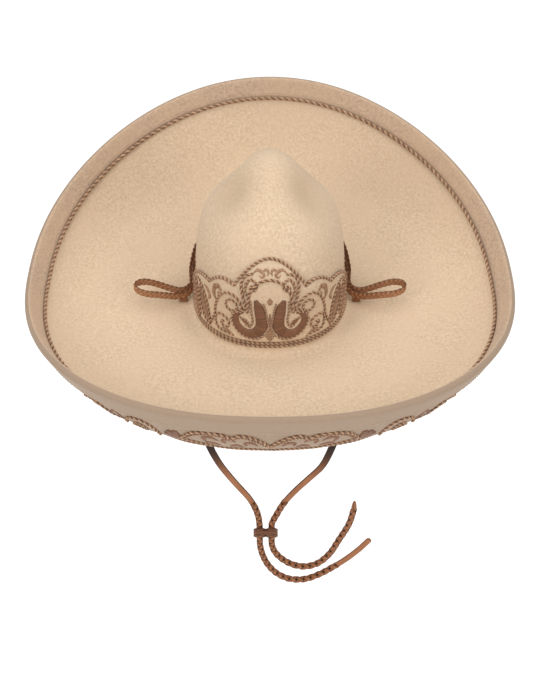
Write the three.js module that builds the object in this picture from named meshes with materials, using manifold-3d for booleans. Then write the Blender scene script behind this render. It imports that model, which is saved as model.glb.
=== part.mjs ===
// A wide felt hat with a dented crown, an upturned brim, an embroidered hatband,
// braided side loops and a braided chin strap with a slider.
// Millimetres. +Z is up, the hat faces -Y, and the origin is the centre of the head
// opening, at the height of the brim's upper face beside the crown.

import * as THREE from 'three';
import Module from 'manifold-3d';
import { mergeVertices } from 'three/addons/utils/BufferGeometryUtils.js';

// ---- Crown ----
const CROWN_HALF_WIDTH = 88;
const CROWN_HALF_LENGTH = 106;
const CROWN_POWER = 2.2;
const FLARE_RADIUS = 13;
const WALL_TOP = 70;
const CROWN_TOP = 192;
const CROWN_LEAN = 20;
const FELT = 2.6;
const DENT_DEPTH = 13;
const DENT_SPREAD = 24;
const DENT_CENTRES = [[47, -14], [-47, -14], [47, 56], [-47, 56]];
const DENT_HEIGHT = 165;

// ---- Brim: plan, rim height and curl as short cosine series in the turn angle ----
const RIM_HALF_WIDTH = 282;
const RIM_HALF_LENGTH = 283;
const RIM_POWER = 2.3;
const RIM_HEIGHT = [70.5, -42, 29, -8.5];
const CURL_HEIGHT = [47.5, 3.5, 14];
const CURL_START = [0.68, 0.093];
const CURL_POWER = 2.2;

// ---- Layers, as distances above (or below) the upper face of the felt ----
const GAP = 0.3;
const UNDER_FELT = 2;
const BINDING = 1.6;
const BINDING_FLAP = 17;
const RIM_CORD_RADIUS = 2.2;
const WIRE_RADIUS = 1.5;
const PANEL_GAP = 1;
const PANEL = 1.8;
const BAND_CORD_RADIUS = 1.7;
const APPLIED_RADIUS = 1.2;
const PAISLEY_RADIUS = 1.7;
const BUD_RADIUS = 1.5;
const APPLIED_LIFT = PANEL_GAP + PANEL + 2 * GAP;
const LINING = 0.8;
const LINING_GAP = 1.8;
const SWEATBAND = 1.4;
const SWEATBAND_TOP = 44;
const SWEATBAND_BOTTOM = -3;
const REED_RADIUS = 1.6;

// ---- Hatband: heights at the sides, and how much higher its foot is at the front and back ----
const FOOT_CORD_LOW = 4.2;
const FOOT_CORD_HIGH = 8.4;
const PANEL_FOOT = 11;
const FOOT_RISE = 8.8;
const FOOT_POWER = 0.7;
const PANEL_WALL = 1.15;
const PANEL_ROWS = [0, 0.4, 0.78, 0.89, 1];

// ---- Straps ----
const ANCHOR_X = 105;
const SLOT = [12.6, 4.6];
const STUB_BOTTOM = -8.6;
const LOOP_WIDTH = 7.5;
const LOOP_THICKNESS = 3.6;
const BACK_STRAP_WIDTH = 9;
const BACK_STRAP_THICKNESS = 7.6;
const BACK_STRAP_LOW = 15;
const BACK_STRAP_HIGH = 45;
const BACK_STRAP_CLIMB_TURN = 27;
const BACK_STRAP_NEEDLEWORK_TURN = 11;
const TONGUE_WIDTH = 9;
const TONGUE_THICKNESS = 3.4;
const CORD_RADIUS = 4.5;
const SLIDER_CENTRE = [-6, -394];
const SLIDER_HEIGHT = 15;
const STRAND_SPACING = 16.4;
const SLIDER_LOBE_RADIUS = 8.6;
const SLIDER_HOLE_RADIUS = 5.2;

// ---- Mesh fineness ----
const AROUND = 40;
const BAND_STEP = 6;
const THIN_SIDES = 5;

const FELT_COLOUR = '#d3b694';
const FELT_SHADE = '#c4a687';
const CORD_COLOUR = '#8a5839';
const LEATHER_COLOUR = '#a06a45';
const DARK_LEATHER = '#6f4228';
const LINING_COLOUR = '#e6d9c2';
const STEEL_COLOUR = '#9a9c9e';

const RIGHT_ANGLE = Math.PI / 2;
const degrees = (angle) => (angle * Math.PI) / 180;
const wasm = await Module();
wasm.setup();

const hat = new THREE.Group();

function addPiece(name, geometry, colour, roughness = 0.9, metalness = 0) {
  const material = new THREE.MeshStandardMaterial({ color: colour, roughness, metalness });
  const mesh = new THREE.Mesh(geometry, material);
  mesh.name = name;
  hat.add(mesh);
}

// ---------- Surfaces of the hat ----------

// Distance from the axis to an oval of the given half sizes, at a turn from the front.
function ovalRadius(turn, halfWidth, halfLength, power) {
  const across = Math.abs(Math.sin(turn) / halfWidth) ** power;
  const along = Math.abs(Math.cos(turn) / halfLength) ** power;
  return (across + along) ** (-1 / power);
}

function polar(turn, radius, height) {
  return new THREE.Vector3(radius * Math.sin(turn), -radius * Math.cos(turn), height);
}

function crownRadius(turn) {
  return ovalRadius(turn, CROWN_HALF_WIDTH, CROWN_HALF_LENGTH, CROWN_POWER);
}

// How far the four hand-pressed dents push the felt in at a point.
function dentDepth(point) {
  let depth = 0;
  for (const [x, y] of DENT_CENTRES) {
    const distance = point.distanceTo(new THREE.Vector3(x, y, DENT_HEIGHT));
    depth += DENT_DEPTH * Math.exp(-(distance ** 2) / (2 * DENT_SPREAD ** 2));
  }
  return depth;
}

// climb 0 to 1 is the flare at the foot, 1 to 2 the wall, 2 to 3 the dome.
function crownPoint(turn, climb, lift) {
  const radius = crownRadius(turn);
  if (climb <= 1) {
    const lean = climb * RIGHT_ANGLE;
    const arm = FLARE_RADIUS - lift;
    return polar(turn, radius + FLARE_RADIUS - arm * Math.sin(lean), FLARE_RADIUS - arm * Math.cos(lean));
  }
  if (climb <= 2) {
    return polar(turn, radius + lift, FLARE_RADIUS + (WALL_TOP - FLARE_RADIUS) * (climb - 1));
  }
  const rise = CROWN_TOP - WALL_TOP;
  const angle = (climb - 2) * RIGHT_ANGLE;
  const point = polar(turn, radius * Math.cos(angle), WALL_TOP + rise * Math.sin(angle));
  point.y += CROWN_LEAN * Math.sin(angle) ** 1.5;
  const outward = new THREE.Vector2(Math.cos(angle) * rise, Math.sin(angle) * radius).normalize();
  const push = lift - dentDepth(point);
  return point.add(polar(turn, outward.x * push, outward.y * push));
}

function climbAt(height) {
  if (height <= FLARE_RADIUS) {
    return Math.acos(1 - height / FLARE_RADIUS) / RIGHT_ANGLE;
  }
  if (height <= WALL_TOP) {
    return 1 + (height - FLARE_RADIUS) / (WALL_TOP - FLARE_RADIUS);
  }
  return 2 + Math.asin((height - WALL_TOP) / (CROWN_TOP - WALL_TOP)) / RIGHT_ANGLE;
}

function series(terms, turn) {
  return terms.reduce((sum, term, order) => sum + term * Math.cos(order * turn), 0);
}

function brimRise(turn, share) {
  const curl = series(CURL_HEIGHT, turn);
  const start = series(CURL_START, turn);
  const bow = series(RIM_HEIGHT, turn) - curl;
  return bow * share ** 2 + curl * Math.max(0, (share - start) / (1 - start)) ** CURL_POWER;
}

// share 0 is the foot of the crown and 1 the rim; out is how far past the rim along the felt.
function brimPoint(turn, share, lift, out = 0) {
  const foot = crownRadius(turn) + FLARE_RADIUS;
  const width = ovalRadius(turn, RIM_HALF_WIDTH, RIM_HALF_LENGTH, RIM_POWER) - foot;
  const slope = brimSlope(turn, share);
  const length = Math.hypot(1, slope);
  const radius = foot + share * width + (out - lift * slope) / length;
  return polar(turn, radius, brimRise(turn, share) + (out * slope + lift) / length);
}

function brimWidth(turn) {
  return ovalRadius(turn, RIM_HALF_WIDTH, RIM_HALF_LENGTH, RIM_POWER) - crownRadius(turn) - FLARE_RADIUS;
}

function brimSlope(turn, share) {
  const step = 0.001;
  return (brimRise(turn, share) - brimRise(turn, share - step)) / (step * brimWidth(turn));
}

// The share that lies a given distance in from the rim, measured along the felt.
function shareInFromRim(turn, inset) {
  let share = 1;
  for (let walked = 0; walked < inset; walked += 1) {
    share -= 1 / (brimWidth(turn) * Math.hypot(1, brimSlope(turn, share)));
  }
  return share;
}

// ---------- Solids from rings of points ----------

// Joins rings of points into one closed skin. A ring of one point is a pole. ends is
// 'join' when the last ring meets the first, and 'cap' when the two ends are flat.
function skin(rings, ends = 'cap') {
  const positions = [];
  const triangles = [];
  const starts = [];
  for (const ring of rings) {
    starts.push(positions.length);
    positions.push(...ring);
  }
  const pairs = ends === 'join' ? rings.length : rings.length - 1;
  for (let row = 0; row < pairs; row++) {
    const next = (row + 1) % rings.length;
    const count = Math.max(rings[row].length, rings[next].length);
    for (let i = 0; i < count; i++) {
      const j = (i + 1) % count;
      const lower = (k) => starts[row] + (rings[row].length === 1 ? 0 : k);
      const upper = (k) => starts[next] + (rings[next].length === 1 ? 0 : k);
      if (rings[row].length === 1) triangles.push([lower(i), upper(j), upper(i)]);
      else if (rings[next].length === 1) triangles.push([lower(i), lower(j), upper(j)]);
      else triangles.push(...splitQuad(positions, lower(i), lower(j), upper(j), upper(i)));
    }
  }
  if (ends === 'cap') {
    capRing(rings[0], starts[0], triangles, false);
    capRing(rings.at(-1), starts.at(-1), triangles, true);
  }
  return solid(positions, triangles);
}

// A four-sided face is split along its shorter diagonal, so that two layers that run
// side by side are split alike.
function splitQuad(positions, a, b, c, d) {
  const straight = positions[a].distanceTo(positions[c]);
  const crossed = positions[b].distanceTo(positions[d]);
  return straight < crossed ? [[a, b, c], [a, c, d]] : [[a, b, d], [b, c, d]];
}

// The two ends are strips between the two long sides of the section.
function capRing(ring, start, triangles, last) {
  for (let low = 0, high = ring.length - 1; high - low > 1; low++, high--) {
    const quad = [start + low, start + low + 1, start + high - 1, start + high];
    const pair = [[quad[0], quad[2], quad[1]], [quad[0], quad[3], quad[2]]];
    for (const triangle of pair) {
      if (new Set(triangle).size === 3) triangles.push(last ? [...triangle].reverse() : triangle);
    }
  }
}

// A geometry with its faces turned outwards, whichever way round they were listed.
function solid(positions, triangles) {
  let volume = 0;
  for (const [a, b, c] of triangles) {
    volume += positions[a].dot(new THREE.Vector3().crossVectors(positions[b], positions[c]));
  }
  const index = triangles.flatMap(([a, b, c]) => (volume > 0 ? [a, b, c] : [a, c, b]));
  const geometry = new THREE.BufferGeometry().setFromPoints(positions);
  geometry.setIndex(index);
  return geometry;
}

const turns = Array.from({ length: AROUND }, (_, i) => (i * 2 * Math.PI) / AROUND);
const ringOf = (pointAt) => turns.map(pointAt);

// A cord of round section laid in a closed ring, whose middle is given for each turn.
function ringCord(radius, sides, middleAt) {
  const rings = turns.map((turn) => {
    const middle = middleAt(turn);
    const outward = polar(turn, 1, 0);
    return Array.from({ length: sides }, (_, side) => {
      const angle = (side * 2 * Math.PI) / sides;
      const point = middle.clone().addScaledVector(outward, radius * Math.cos(angle));
      point.z += radius * Math.sin(angle);
      return point;
    });
  });
  return skin(rings, 'join');
}

// A round cord along an open curve through the given points.
function openCord(points, radius, sides, steps) {
  const section = new THREE.Shape();
  for (let side = 0; side < sides; side++) {
    const angle = (side * 2 * Math.PI) / sides;
    const corner = [radius * Math.cos(angle), radius * Math.sin(angle)];
    if (side === 0) section.moveTo(...corner);
    else section.lineTo(...corner);
  }
  section.closePath();
  const extrudePath = new THREE.CatmullRomCurve3(points, false, 'centripetal');
  return new THREE.ExtrudeGeometry(section, { steps, bevelEnabled: false, extrudePath });
}

// A flat strap along a curve; sideAt gives the direction of its width from the tangent.
function ribbon(points, width, thickness, steps, sideAt) {
  const curve = new THREE.CatmullRomCurve3(points, false, 'centripetal');
  const rings = [];
  for (let step = 0; step <= steps; step++) {
    const middle = curve.getPointAt(step / steps);
    const tangent = curve.getTangentAt(step / steps);
    const side = sideAt(tangent).normalize();
    const face = new THREE.Vector3().crossVectors(tangent, side).normalize();
    rings.push([[-1, -1], [1, -1], [1, 1], [-1, 1]].map(([across, through]) =>
      middle.clone().addScaledVector(side, (across * width) / 2).addScaledVector(face, (through * thickness) / 2)));
  }
  return skin(rings);
}

function mirrored(geometry) {
  return outwardFacing(geometry.clone().scale(-1, 1, 1));
}

function outwardFacing(geometry) {
  const plain = new THREE.BufferGeometry();
  plain.setAttribute('position', geometry.getAttribute('position'));
  if (geometry.index) plain.setIndex(geometry.index);
  const merged = mergeVertices(plain);
  const corners = merged.getAttribute('position');
  const positions = Array.from({ length: corners.count }, (_, i) => new THREE.Vector3().fromBufferAttribute(corners, i));
  const order = Array.from(merged.index.array);
  const triangles = order.flatMap((_, i) => (i % 3 === 0 ? [order.slice(i, i + 3)] : []));
  return solid(positions, triangles);
}

function toManifold(geometry) {
  const plain = outwardFacing(geometry);
  return new wasm.Manifold(new wasm.Mesh({
    numProp: 3,
    vertProperties: new Float32Array(plain.getAttribute('position').array),
    triVerts: new Uint32Array(plain.index.array),
  }));
}

function cut(geometry, tools) {
  let body = toManifold(geometry);
  for (const tool of tools) body = body.subtract(toManifold(tool));
  const mesh = body.getMesh();
  const result = new THREE.BufferGeometry();
  result.setAttribute('position', new THREE.BufferAttribute(new Float32Array(mesh.vertProperties), 3));
  result.setIndex(new THREE.BufferAttribute(new Uint32Array(mesh.triVerts), 1));
  return result;
}

// ---------- Crown and brim ----------

function makeCrownFelt() {
  const climbs = [0, 0.35, 0.7, 1, 1.5, 2, 2.13, 2.27, 2.45, 2.62, 2.8];
  const outer = climbs.map((climb) => ringOf((turn) => crownPoint(turn, climb, 0)));
  const inner = climbs.map((climb) => ringOf((turn) => crownPoint(turn, climb, -FELT)));
  const apex = (lift) => [crownPoint(0, 3, lift)];
  return skin([apex(0), ...outer.reverse(), ...inner, apex(-FELT)], 'poles');
}

const strapSlots = [ANCHOR_X, -ANCHOR_X].map((x) =>
  new THREE.BoxGeometry(SLOT[0], SLOT[1], 30).translate(x, 0, 0));

// The felt layers share one list of stations, so that their faces run side by side.
const flapShare = (turn, part) => shareInFromRim(turn, BINDING_FLAP * part);
const stations = [
  ...[0.01, 0.35, 0.62, 0.78].map((share) => () => share),
  (turn) => (0.78 + flapShare(turn, 1)) / 2,
  (turn) => flapShare(turn, 1),
  (turn) => flapShare(turn, 0.5),
  () => 1,
];

function layer(list, top, bottom) {
  const upper = list.map((station) => ringOf((turn) => brimPoint(turn, station(turn), top)));
  const lower = list.map((station) => ringOf((turn) => brimPoint(turn, station(turn), bottom)));
  return skin([...upper, ...lower.reverse()], 'join');
}

const UNDER_TOP = -FELT - GAP;
const UNDER_BOTTOM = UNDER_TOP - UNDER_FELT;
const EDGE_MIDDLE = UNDER_BOTTOM / 2;
const ROLL_CENTRE_OUT = 3.6;
const WIRE_OUT = 2.4;

// A felt strip folded round the rim: a flap above, a roll at the edge and a flap below.
function makeEdgeBinding() {
  const innerRoll = GAP - EDGE_MIDDLE;
  const outerRoll = innerRoll + BINDING;
  const flaps = [(turn) => flapShare(turn, 1), (turn) => flapShare(turn, 0.5), () => 1];
  const roll = (radius, angles) => angles.map((angle) => ringOf((turn) => brimPoint(
    turn, 1, EDGE_MIDDLE + radius * Math.sin(degrees(angle)), ROLL_CENTRE_OUT + radius * Math.cos(degrees(angle)))));
  const flap = (lift, list) => list.map((station) => ringOf((turn) => brimPoint(turn, station(turn), lift)));
  const inward = [...flaps].reverse();
  return skin([
    ...flap(EDGE_MIDDLE + outerRoll, flaps),
    ...roll(outerRoll, [80, 35, -10, -45, -80]),
    ...flap(EDGE_MIDDLE - outerRoll, inward),
    ...flap(EDGE_MIDDLE - innerRoll, flaps),
    ...roll(innerRoll, [-70, 0, 70]),
    ...flap(EDGE_MIDDLE + innerRoll, inward),
  ], 'join');
}

addPiece('crown_felt', makeCrownFelt(), FELT_COLOUR);
addPiece('brim_felt', cut(layer(stations, 0, -FELT), strapSlots), FELT_COLOUR);
addPiece('under_brim_felt', cut(layer(stations, UNDER_TOP, UNDER_BOTTOM), strapSlots), FELT_SHADE);
addPiece('edge_binding', makeEdgeBinding(), FELT_SHADE);
addPiece('brim_wire', ringCord(WIRE_RADIUS, THIN_SIDES, (turn) => brimPoint(turn, 1, EDGE_MIDDLE, WIRE_OUT)), STEEL_COLOUR, 0.35, 1);
addPiece('rim_cord', ringCord(RIM_CORD_RADIUS, THIN_SIDES, (turn) => {
  const share = shareInFromRim(turn, BINDING_FLAP + RIM_CORD_RADIUS + 2 * GAP);
  return brimPoint(turn, share, RIM_CORD_RADIUS + 2 * GAP);
}), CORD_COLOUR);

// The embroidered border under the brim stands a little proud of the felt.
const BORDER_NEAR = 19;
const BORDER_FAR = 66;
const BORDER_THICKNESS = 1.2;
const BORDER_TOP = UNDER_BOTTOM - 3 * GAP;
const BORDER_STATIONS = [0, 1, 2, 3].map((step) => BORDER_NEAR + ((BORDER_FAR - BORDER_NEAR) * step) / 3);
addPiece('under_brim_embroidery', layer(
  BORDER_STATIONS.map((inset) => (turn) => shareInFromRim(turn, inset)),
  BORDER_TOP, BORDER_TOP - BORDER_THICKNESS), CORD_COLOUR);

// ---------- Inside of the crown ----------

function makeLining() {
  const climbs = [1.6, 2, 2.13, 2.27, 2.45, 2.62, 2.8];
  const faces = [-FELT - LINING_GAP, -FELT - LINING_GAP - LINING];
  const [outer, inner] = faces.map((lift) => climbs.map((climb) => ringOf((turn) => crownPoint(turn, climb, lift))));
  const apexes = faces.map((lift) => [crownPoint(0, 3, lift)]);
  return skin([apexes[0], ...outer.reverse(), ...inner, apexes[1]], 'poles');
}

function makeSweatband() {
  const outside = -FELT - 2 * GAP;
  const corners = [
    [outside, SWEATBAND_BOTTOM], [outside, SWEATBAND_TOP],
    [outside - SWEATBAND, SWEATBAND_TOP], [outside - SWEATBAND, SWEATBAND_BOTTOM],
  ];
  return skin(corners.map(([lift, height]) => ringOf((turn) => polar(turn, crownRadius(turn) + lift, height))), 'join');
}

// A small ribbon bow on the sweatband's seam at the back.
function makeBow() {
  const bow = new THREE.Shape();
  bow.moveTo(-2, -1.5);
  bow.lineTo(-13, -5);
  bow.quadraticCurveTo(-15.5, 0, -13, 5);
  bow.lineTo(-2, 1.5);
  bow.lineTo(2, 1.5);
  bow.lineTo(13, 5);
  bow.quadraticCurveTo(15.5, 0, 13, -5);
  bow.lineTo(2, -1.5);
  bow.closePath();
  const geometry = new THREE.ExtrudeGeometry(bow, { depth: 1.4, bevelEnabled: false, curveSegments: 4 });
  const inside = CROWN_HALF_LENGTH - FELT - 2 * GAP - SWEATBAND - 2;
  return geometry.rotateX(RIGHT_ANGLE).translate(0, inside, SWEATBAND_TOP - 14);
}

addPiece('crown_lining', makeLining(), LINING_COLOUR, 0.5);
addPiece('sweatband', makeSweatband(), DARK_LEATHER, 0.6);
addPiece('sweatband_reed', ringCord(REED_RADIUS, THIN_SIDES, (turn) => polar(
  turn, crownRadius(turn) - FELT - 2 * GAP - SWEATBAND / 2, SWEATBAND_BOTTOM - GAP - REED_RADIUS)), DARK_LEATHER, 0.6);
addPiece('sweatband_bow', makeBow(), DARK_LEATHER, 0.5);

// ---------- Hatband ----------

const FRONT_END = 80;
const BACK_START = 102;
const BACK_END = 180;

// Lobes of the scalloped upper edge: half-turn from the middle where each one ends,
// the height of its two valleys, and how far it rises between them.
const FRONT_LOBES = [
  { from: -22.5, to: 22.5, low: [90, 90], rise: 33 },
  { from: 22.5, to: 43.3, low: [90, 80.7], rise: 8 },
  { from: 43.3, to: FRONT_END, low: [80.7, 45], rise: 12 },
];
const BACK_LOBES = [
  { from: -22.5, to: 22.5, low: [80, 80], rise: 28 },
  { from: 22.5, to: 43.3, low: [80, 72], rise: 8 },
  { from: 43.3, to: BACK_END - BACK_START, low: [72, 42], rise: 10 },
];

function scallopTop(lobes, away) {
  const lobe = lobes.find((one) => Math.abs(away) <= one.to);
  const place = (Math.abs(away) - lobe.from) / (lobe.to - lobe.from);
  return lobe.low[0] + (lobe.low[1] - lobe.low[0]) * place + lobe.rise * Math.sin(Math.PI * place) ** 0.8;
}

// The foot of the band stands higher at the front and the back than at the sides.
function footHeight(side, turn) {
  return side + FOOT_RISE * Math.abs(Math.cos(turn)) ** FOOT_POWER;
}

function bandPoint(turnDegrees, height, lift) {
  return crownPoint(degrees(turnDegrees), climbAt(height), lift);
}

function makePanel(middle, reach, lobes) {
  const steps = Math.round((2 * reach) / BAND_STEP);
  const rings = [];
  for (let step = 0; step <= steps; step++) {
    const away = -reach + (2 * reach * step) / steps;
    const top = scallopTop(lobes, away);
    const foot = climbAt(footHeight(PANEL_FOOT, degrees(middle + away)));
    const wall = PANEL_ROWS.map((share) => PANEL_WALL + share * (climbAt(top) - PANEL_WALL));
    const climbs = [foot, (foot + PANEL_WALL) / 2, ...wall];
    const face = (lift) => climbs.map((climb) => crownPoint(degrees(middle + away), climb, lift));
    rings.push([...face(PANEL_GAP), ...face(PANEL_GAP + PANEL).reverse()]);
  }
  return skin(rings);
}

function makeTopCord(middle, reach, lobes) {
  const points = [];
  for (let away = -reach; away <= reach; away += 4) {
    points.push(bandPoint(middle + away, scallopTop(lobes, away) - 0.4, APPLIED_LIFT + BAND_CORD_RADIUS));
  }
  return openCord(points, BAND_CORD_RADIUS, THIN_SIDES, points.length - 1);
}

function footCord(height) {
  const lift = BAND_CORD_RADIUS + 2 * GAP;
  return ringCord(BAND_CORD_RADIUS, THIN_SIDES, (turn) => crownPoint(turn, climbAt(footHeight(height, turn)), lift));
}

addPiece('band_front_panel', makePanel(0, FRONT_END, FRONT_LOBES), FELT_COLOUR);
addPiece('band_back_panel', makePanel(180, BACK_END - BACK_START, BACK_LOBES), FELT_COLOUR);
addPiece('band_front_edge_cord', makeTopCord(0, FRONT_END, FRONT_LOBES), CORD_COLOUR);
addPiece('band_back_edge_cord', makeTopCord(180, BACK_END - BACK_START - 0.5, BACK_LOBES), CORD_COLOUR);
addPiece('band_foot_cord_upper', footCord(FOOT_CORD_HIGH), CORD_COLOUR);
addPiece('band_foot_cord_lower', footCord(FOOT_CORD_LOW), CORD_COLOUR);

// Raised needlework on the panels, as stout cords through [turn, height] stations.
function applied(stationList, middle, radius = APPLIED_RADIUS, steps = 12) {
  const points = stationList.map(([away, height]) => bandPoint(middle + away, height, APPLIED_LIFT + radius));
  return openCord(points, radius, THIN_SIDES, steps);
}

const ARCH = [[-12, 54], [-13.5, 71], [-12.3, 86], [-7.2, 97.6], [0, 101.7], [7.2, 97.6], [12.3, 86], [13.5, 71], [12, 54]];
const PAISLEY = [[8, 74], [6.6, 61], [6.4, 45], [8.5, 33], [13.5, 28], [19, 33], [22, 45], [19.5, 54]];
const SCROLL = [[27, 52], [23.5, 58], [24, 68], [28, 71], [32, 66], [33, 55], [36, 43], [40, 38], [43.5, 44], [41, 52]];
const LEAF = [[50, 64], [55, 58], [58, 47], [56, 36], [60, 30], [66, 34], [67.5, 45], [64, 54]];
const BUD = [[0, 21], [0, 28], [0, 38], [0, 48], [0, 58], [0, 70]];

for (const [place, middle] of [['front', 0], ['back', 180]]) {
  addPiece(`band_${place}_arch`, applied(ARCH, middle), CORD_COLOUR);
  addPiece(`band_${place}_bud`, applied(BUD, middle, BUD_RADIUS, 6), CORD_COLOUR);
  for (const [side, sign] of [['right', 1], ['left', -1]]) {
    const flip = (list) => list.map(([away, height]) => [away * sign, height]);
    addPiece(`band_${place}_paisley_${side}`, applied(flip(PAISLEY), middle, PAISLEY_RADIUS), DARK_LEATHER);
    addPiece(`band_${place}_scroll_${side}`, applied(flip(SCROLL), middle), CORD_COLOUR);
    addPiece(`band_${place}_leaf_${side}`, applied(flip(LEAF), middle), CORD_COLOUR);
  }
}

// ---------- Side loops and the strap behind the crown ----------

// The strap's end comes up through the slot with its face to the front, bends outward
// on its edge, runs round a teardrop and comes back to the foot of the crown.
const LOOP_ROUTE = [
  [105, 0, STUB_BOTTOM], [105, 0, -3], [105.5, -0.4, 4], [111, -2.4, 10], [118, -6, 13],
  [135, -10.5, 17], [150, -12, 20], [160, -8, 22], [163.5, 0, 22.5], [160, 8, 22],
  [150, 12, 20.5], [135, 10.3, 17.5], [121, 8, 13.5], [111, 6.8, 13], [105, 9, 14.5], [101.5, 12, 16],
];
function loopSide(tangent) {
  const upright = new THREE.Vector3(0, 0, -1).addScaledVector(tangent, tangent.z);
  const acrossStub = new THREE.Vector3(0, 1, 0).cross(tangent);
  return upright.addScaledVector(acrossStub, Math.abs(tangent.z));
}
const loopRight = ribbon(
  LOOP_ROUTE.map((point) => new THREE.Vector3(...point)), LOOP_WIDTH, LOOP_THICKNESS, 34, loopSide);
addPiece('side_loop_right', loopRight, LEATHER_COLOUR, 0.7);
addPiece('side_loop_left', mirrored(loopRight), LEATHER_COLOUR, 0.7);

// The strap climbs from the two loops to its level run across the back panel.
const OVER_FOOT_CORDS = 2 * BAND_CORD_RADIUS + 3 * GAP;
const OVER_NEEDLEWORK = APPLIED_LIFT + 2 * PAISLEY_RADIUS + 2 * GAP;
function makeBackStrap() {
  const start = 99;
  const rings = [];
  for (let away = start; away <= 360 - start; away += 4.5) {
    const fromEnd = Math.min(away - start, 360 - start - away);
    const climb = BACK_STRAP_HIGH - BACK_STRAP_LOW;
    const height = BACK_STRAP_LOW + climb * THREE.MathUtils.smoothstep(fromEnd, 0, BACK_STRAP_CLIMB_TURN);
    const overNeedlework = THREE.MathUtils.smoothstep(fromEnd, 2, BACK_STRAP_NEEDLEWORK_TURN);
    const lift = THREE.MathUtils.lerp(OVER_FOOT_CORDS, OVER_NEEDLEWORK, overNeedlework);
    const half = BACK_STRAP_WIDTH / 2;
    const corner = (rise, through) => bandPoint(away, height + rise, lift + through);
    rings.push([
      corner(-half, 0), corner(half, 0),
      corner(half, BACK_STRAP_THICKNESS), corner(-half, BACK_STRAP_THICKNESS),
    ]);
  }
  return skin(rings);
}
addPiece('back_strap', makeBackStrap(), LEATHER_COLOUR, 0.7);

// ---------- Chin strap ----------

const inPlane = (route) => route.map(([x, z]) => new THREE.Vector3(x, 0, z));
const [SLIDER_X, SLIDER_Z] = SLIDER_CENTRE;
const LEFT_STRAND = SLIDER_X - STRAND_SPACING / 2;
const RIGHT_STRAND = SLIDER_X + STRAND_SPACING / 2;
const STRAP_TOP = -12;

const LEFT_ROUTE = inPlane([
  [-ANCHOR_X, STRAP_TOP], [-ANCHOR_X, -38], [-104.3, -75], [-102, -112], [-98, -148], [-91.5, -186],
  [-84.5, -217], [-77.5, -241], [-66, -268], [-51.8, -292.4], [-39, -312], [-28, -329], [-20, -347],
  [-15.8, -364], [LEFT_STRAND - 0.4, -376], [LEFT_STRAND, -384], [LEFT_STRAND, SLIDER_Z],
  [LEFT_STRAND, -405], [LEFT_STRAND + 0.4, -418], [-10.5, -436], [-3, -456], [10, -474], [28, -485],
  [49, -485.5], [70, -475.5], [94, -457],
]);
const RIGHT_ROUTE = inPlane([
  [ANCHOR_X, STRAP_TOP], [ANCHOR_X, -38], [104.5, -75], [102.5, -112], [98.8, -148], [93, -186],
  [86.5, -217], [80.5, -241], [69, -270.5], [52, -292.5], [34.3, -314.5], [19.2, -337], [9.5, -358],
  [RIGHT_STRAND + 0.5, -376], [RIGHT_STRAND, -384], [RIGHT_STRAND, SLIDER_Z], [RIGHT_STRAND, -405],
  [RIGHT_STRAND + 0.9, -419], [8, -433], [18.5, -446.5], [33, -456.5], [49, -460], [66.5, -454],
  [82.5, -436], [96, -407], [109, -376], [114.5, -349],
]);
addPiece('chin_strap_left', openCord(LEFT_ROUTE, CORD_RADIUS, 8, 40), LEATHER_COLOUR, 0.6);
addPiece('chin_strap_right', openCord(RIGHT_ROUTE, CORD_RADIUS, 8, 42), LEATHER_COLOUR, 0.6);

// The left end is a smooth flat tongue, and the right end tapers to a point.
const TONGUE = inPlane([[94.5, -456.6], [109, -443], [125, -425], [139, -406]]);
addPiece('chin_tip_left', ribbon(TONGUE, TONGUE_WIDTH, TONGUE_THICKNESS, 8,
  (tangent) => new THREE.Vector3(0, 1, 0).cross(tangent)), LEATHER_COLOUR, 0.6);
function makePointedTip() {
  const from = new THREE.Vector3(114.6, 0, -347.6);
  const to = new THREE.Vector3(115, 0, -333);
  const along = to.clone().sub(from);
  const side = new THREE.Vector3(0, 1, 0).cross(along).normalize();
  const rings = [[0, 4.3], [0.5, 3.4], [0.85, 1.8]].map(([place, radius]) =>
    Array.from({ length: 8 }, (_, i) => from.clone().addScaledVector(along, place)
      .addScaledVector(side, radius * Math.cos((i * Math.PI) / 4))
      .add(new THREE.Vector3(0, radius * Math.sin((i * Math.PI) / 4), 0))));
  return skin([[from], ...rings, [to]], 'poles');
}
addPiece('chin_tip_right', makePointedTip(), LEATHER_COLOUR, 0.6);

// Two rings side by side in one piece, each wrapped round a strand of the strap.
function makeSlider() {
  const half = STRAND_SPACING / 2;
  const waist = Math.acos(half / SLIDER_LOBE_RADIUS);
  const outline = new THREE.Shape();
  outline.absarc(half, 0, SLIDER_LOBE_RADIUS, waist - Math.PI, Math.PI - waist, false);
  outline.absarc(-half, 0, SLIDER_LOBE_RADIUS, waist, 2 * Math.PI - waist, false);
  for (const side of [half, -half]) {
    const hole = new THREE.Path();
    hole.absarc(side, 0, SLIDER_HOLE_RADIUS, 0, 2 * Math.PI, true);
    outline.holes.push(hole);
  }
  const geometry = new THREE.ExtrudeGeometry(outline, { depth: SLIDER_HEIGHT, bevelEnabled: false, curveSegments: 8 });
  return geometry.translate(SLIDER_X, 0, SLIDER_Z - SLIDER_HEIGHT / 2);
}
addPiece('chin_slider', makeSlider(), DARK_LEATHER, 0.6);

export default hat;
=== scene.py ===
# %% [markdown]
# # A sombrero of felt, twisted cord and braided leather
# The hat is built in the same order as a hatmaker works: the blocked felt first, then
# the bound edge, the cords and needlework, the leather straps, and the inside of the
# crown. Everything is measured in millimetres until it becomes a mesh, which is in
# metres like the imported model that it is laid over.

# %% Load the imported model
import math

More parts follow.
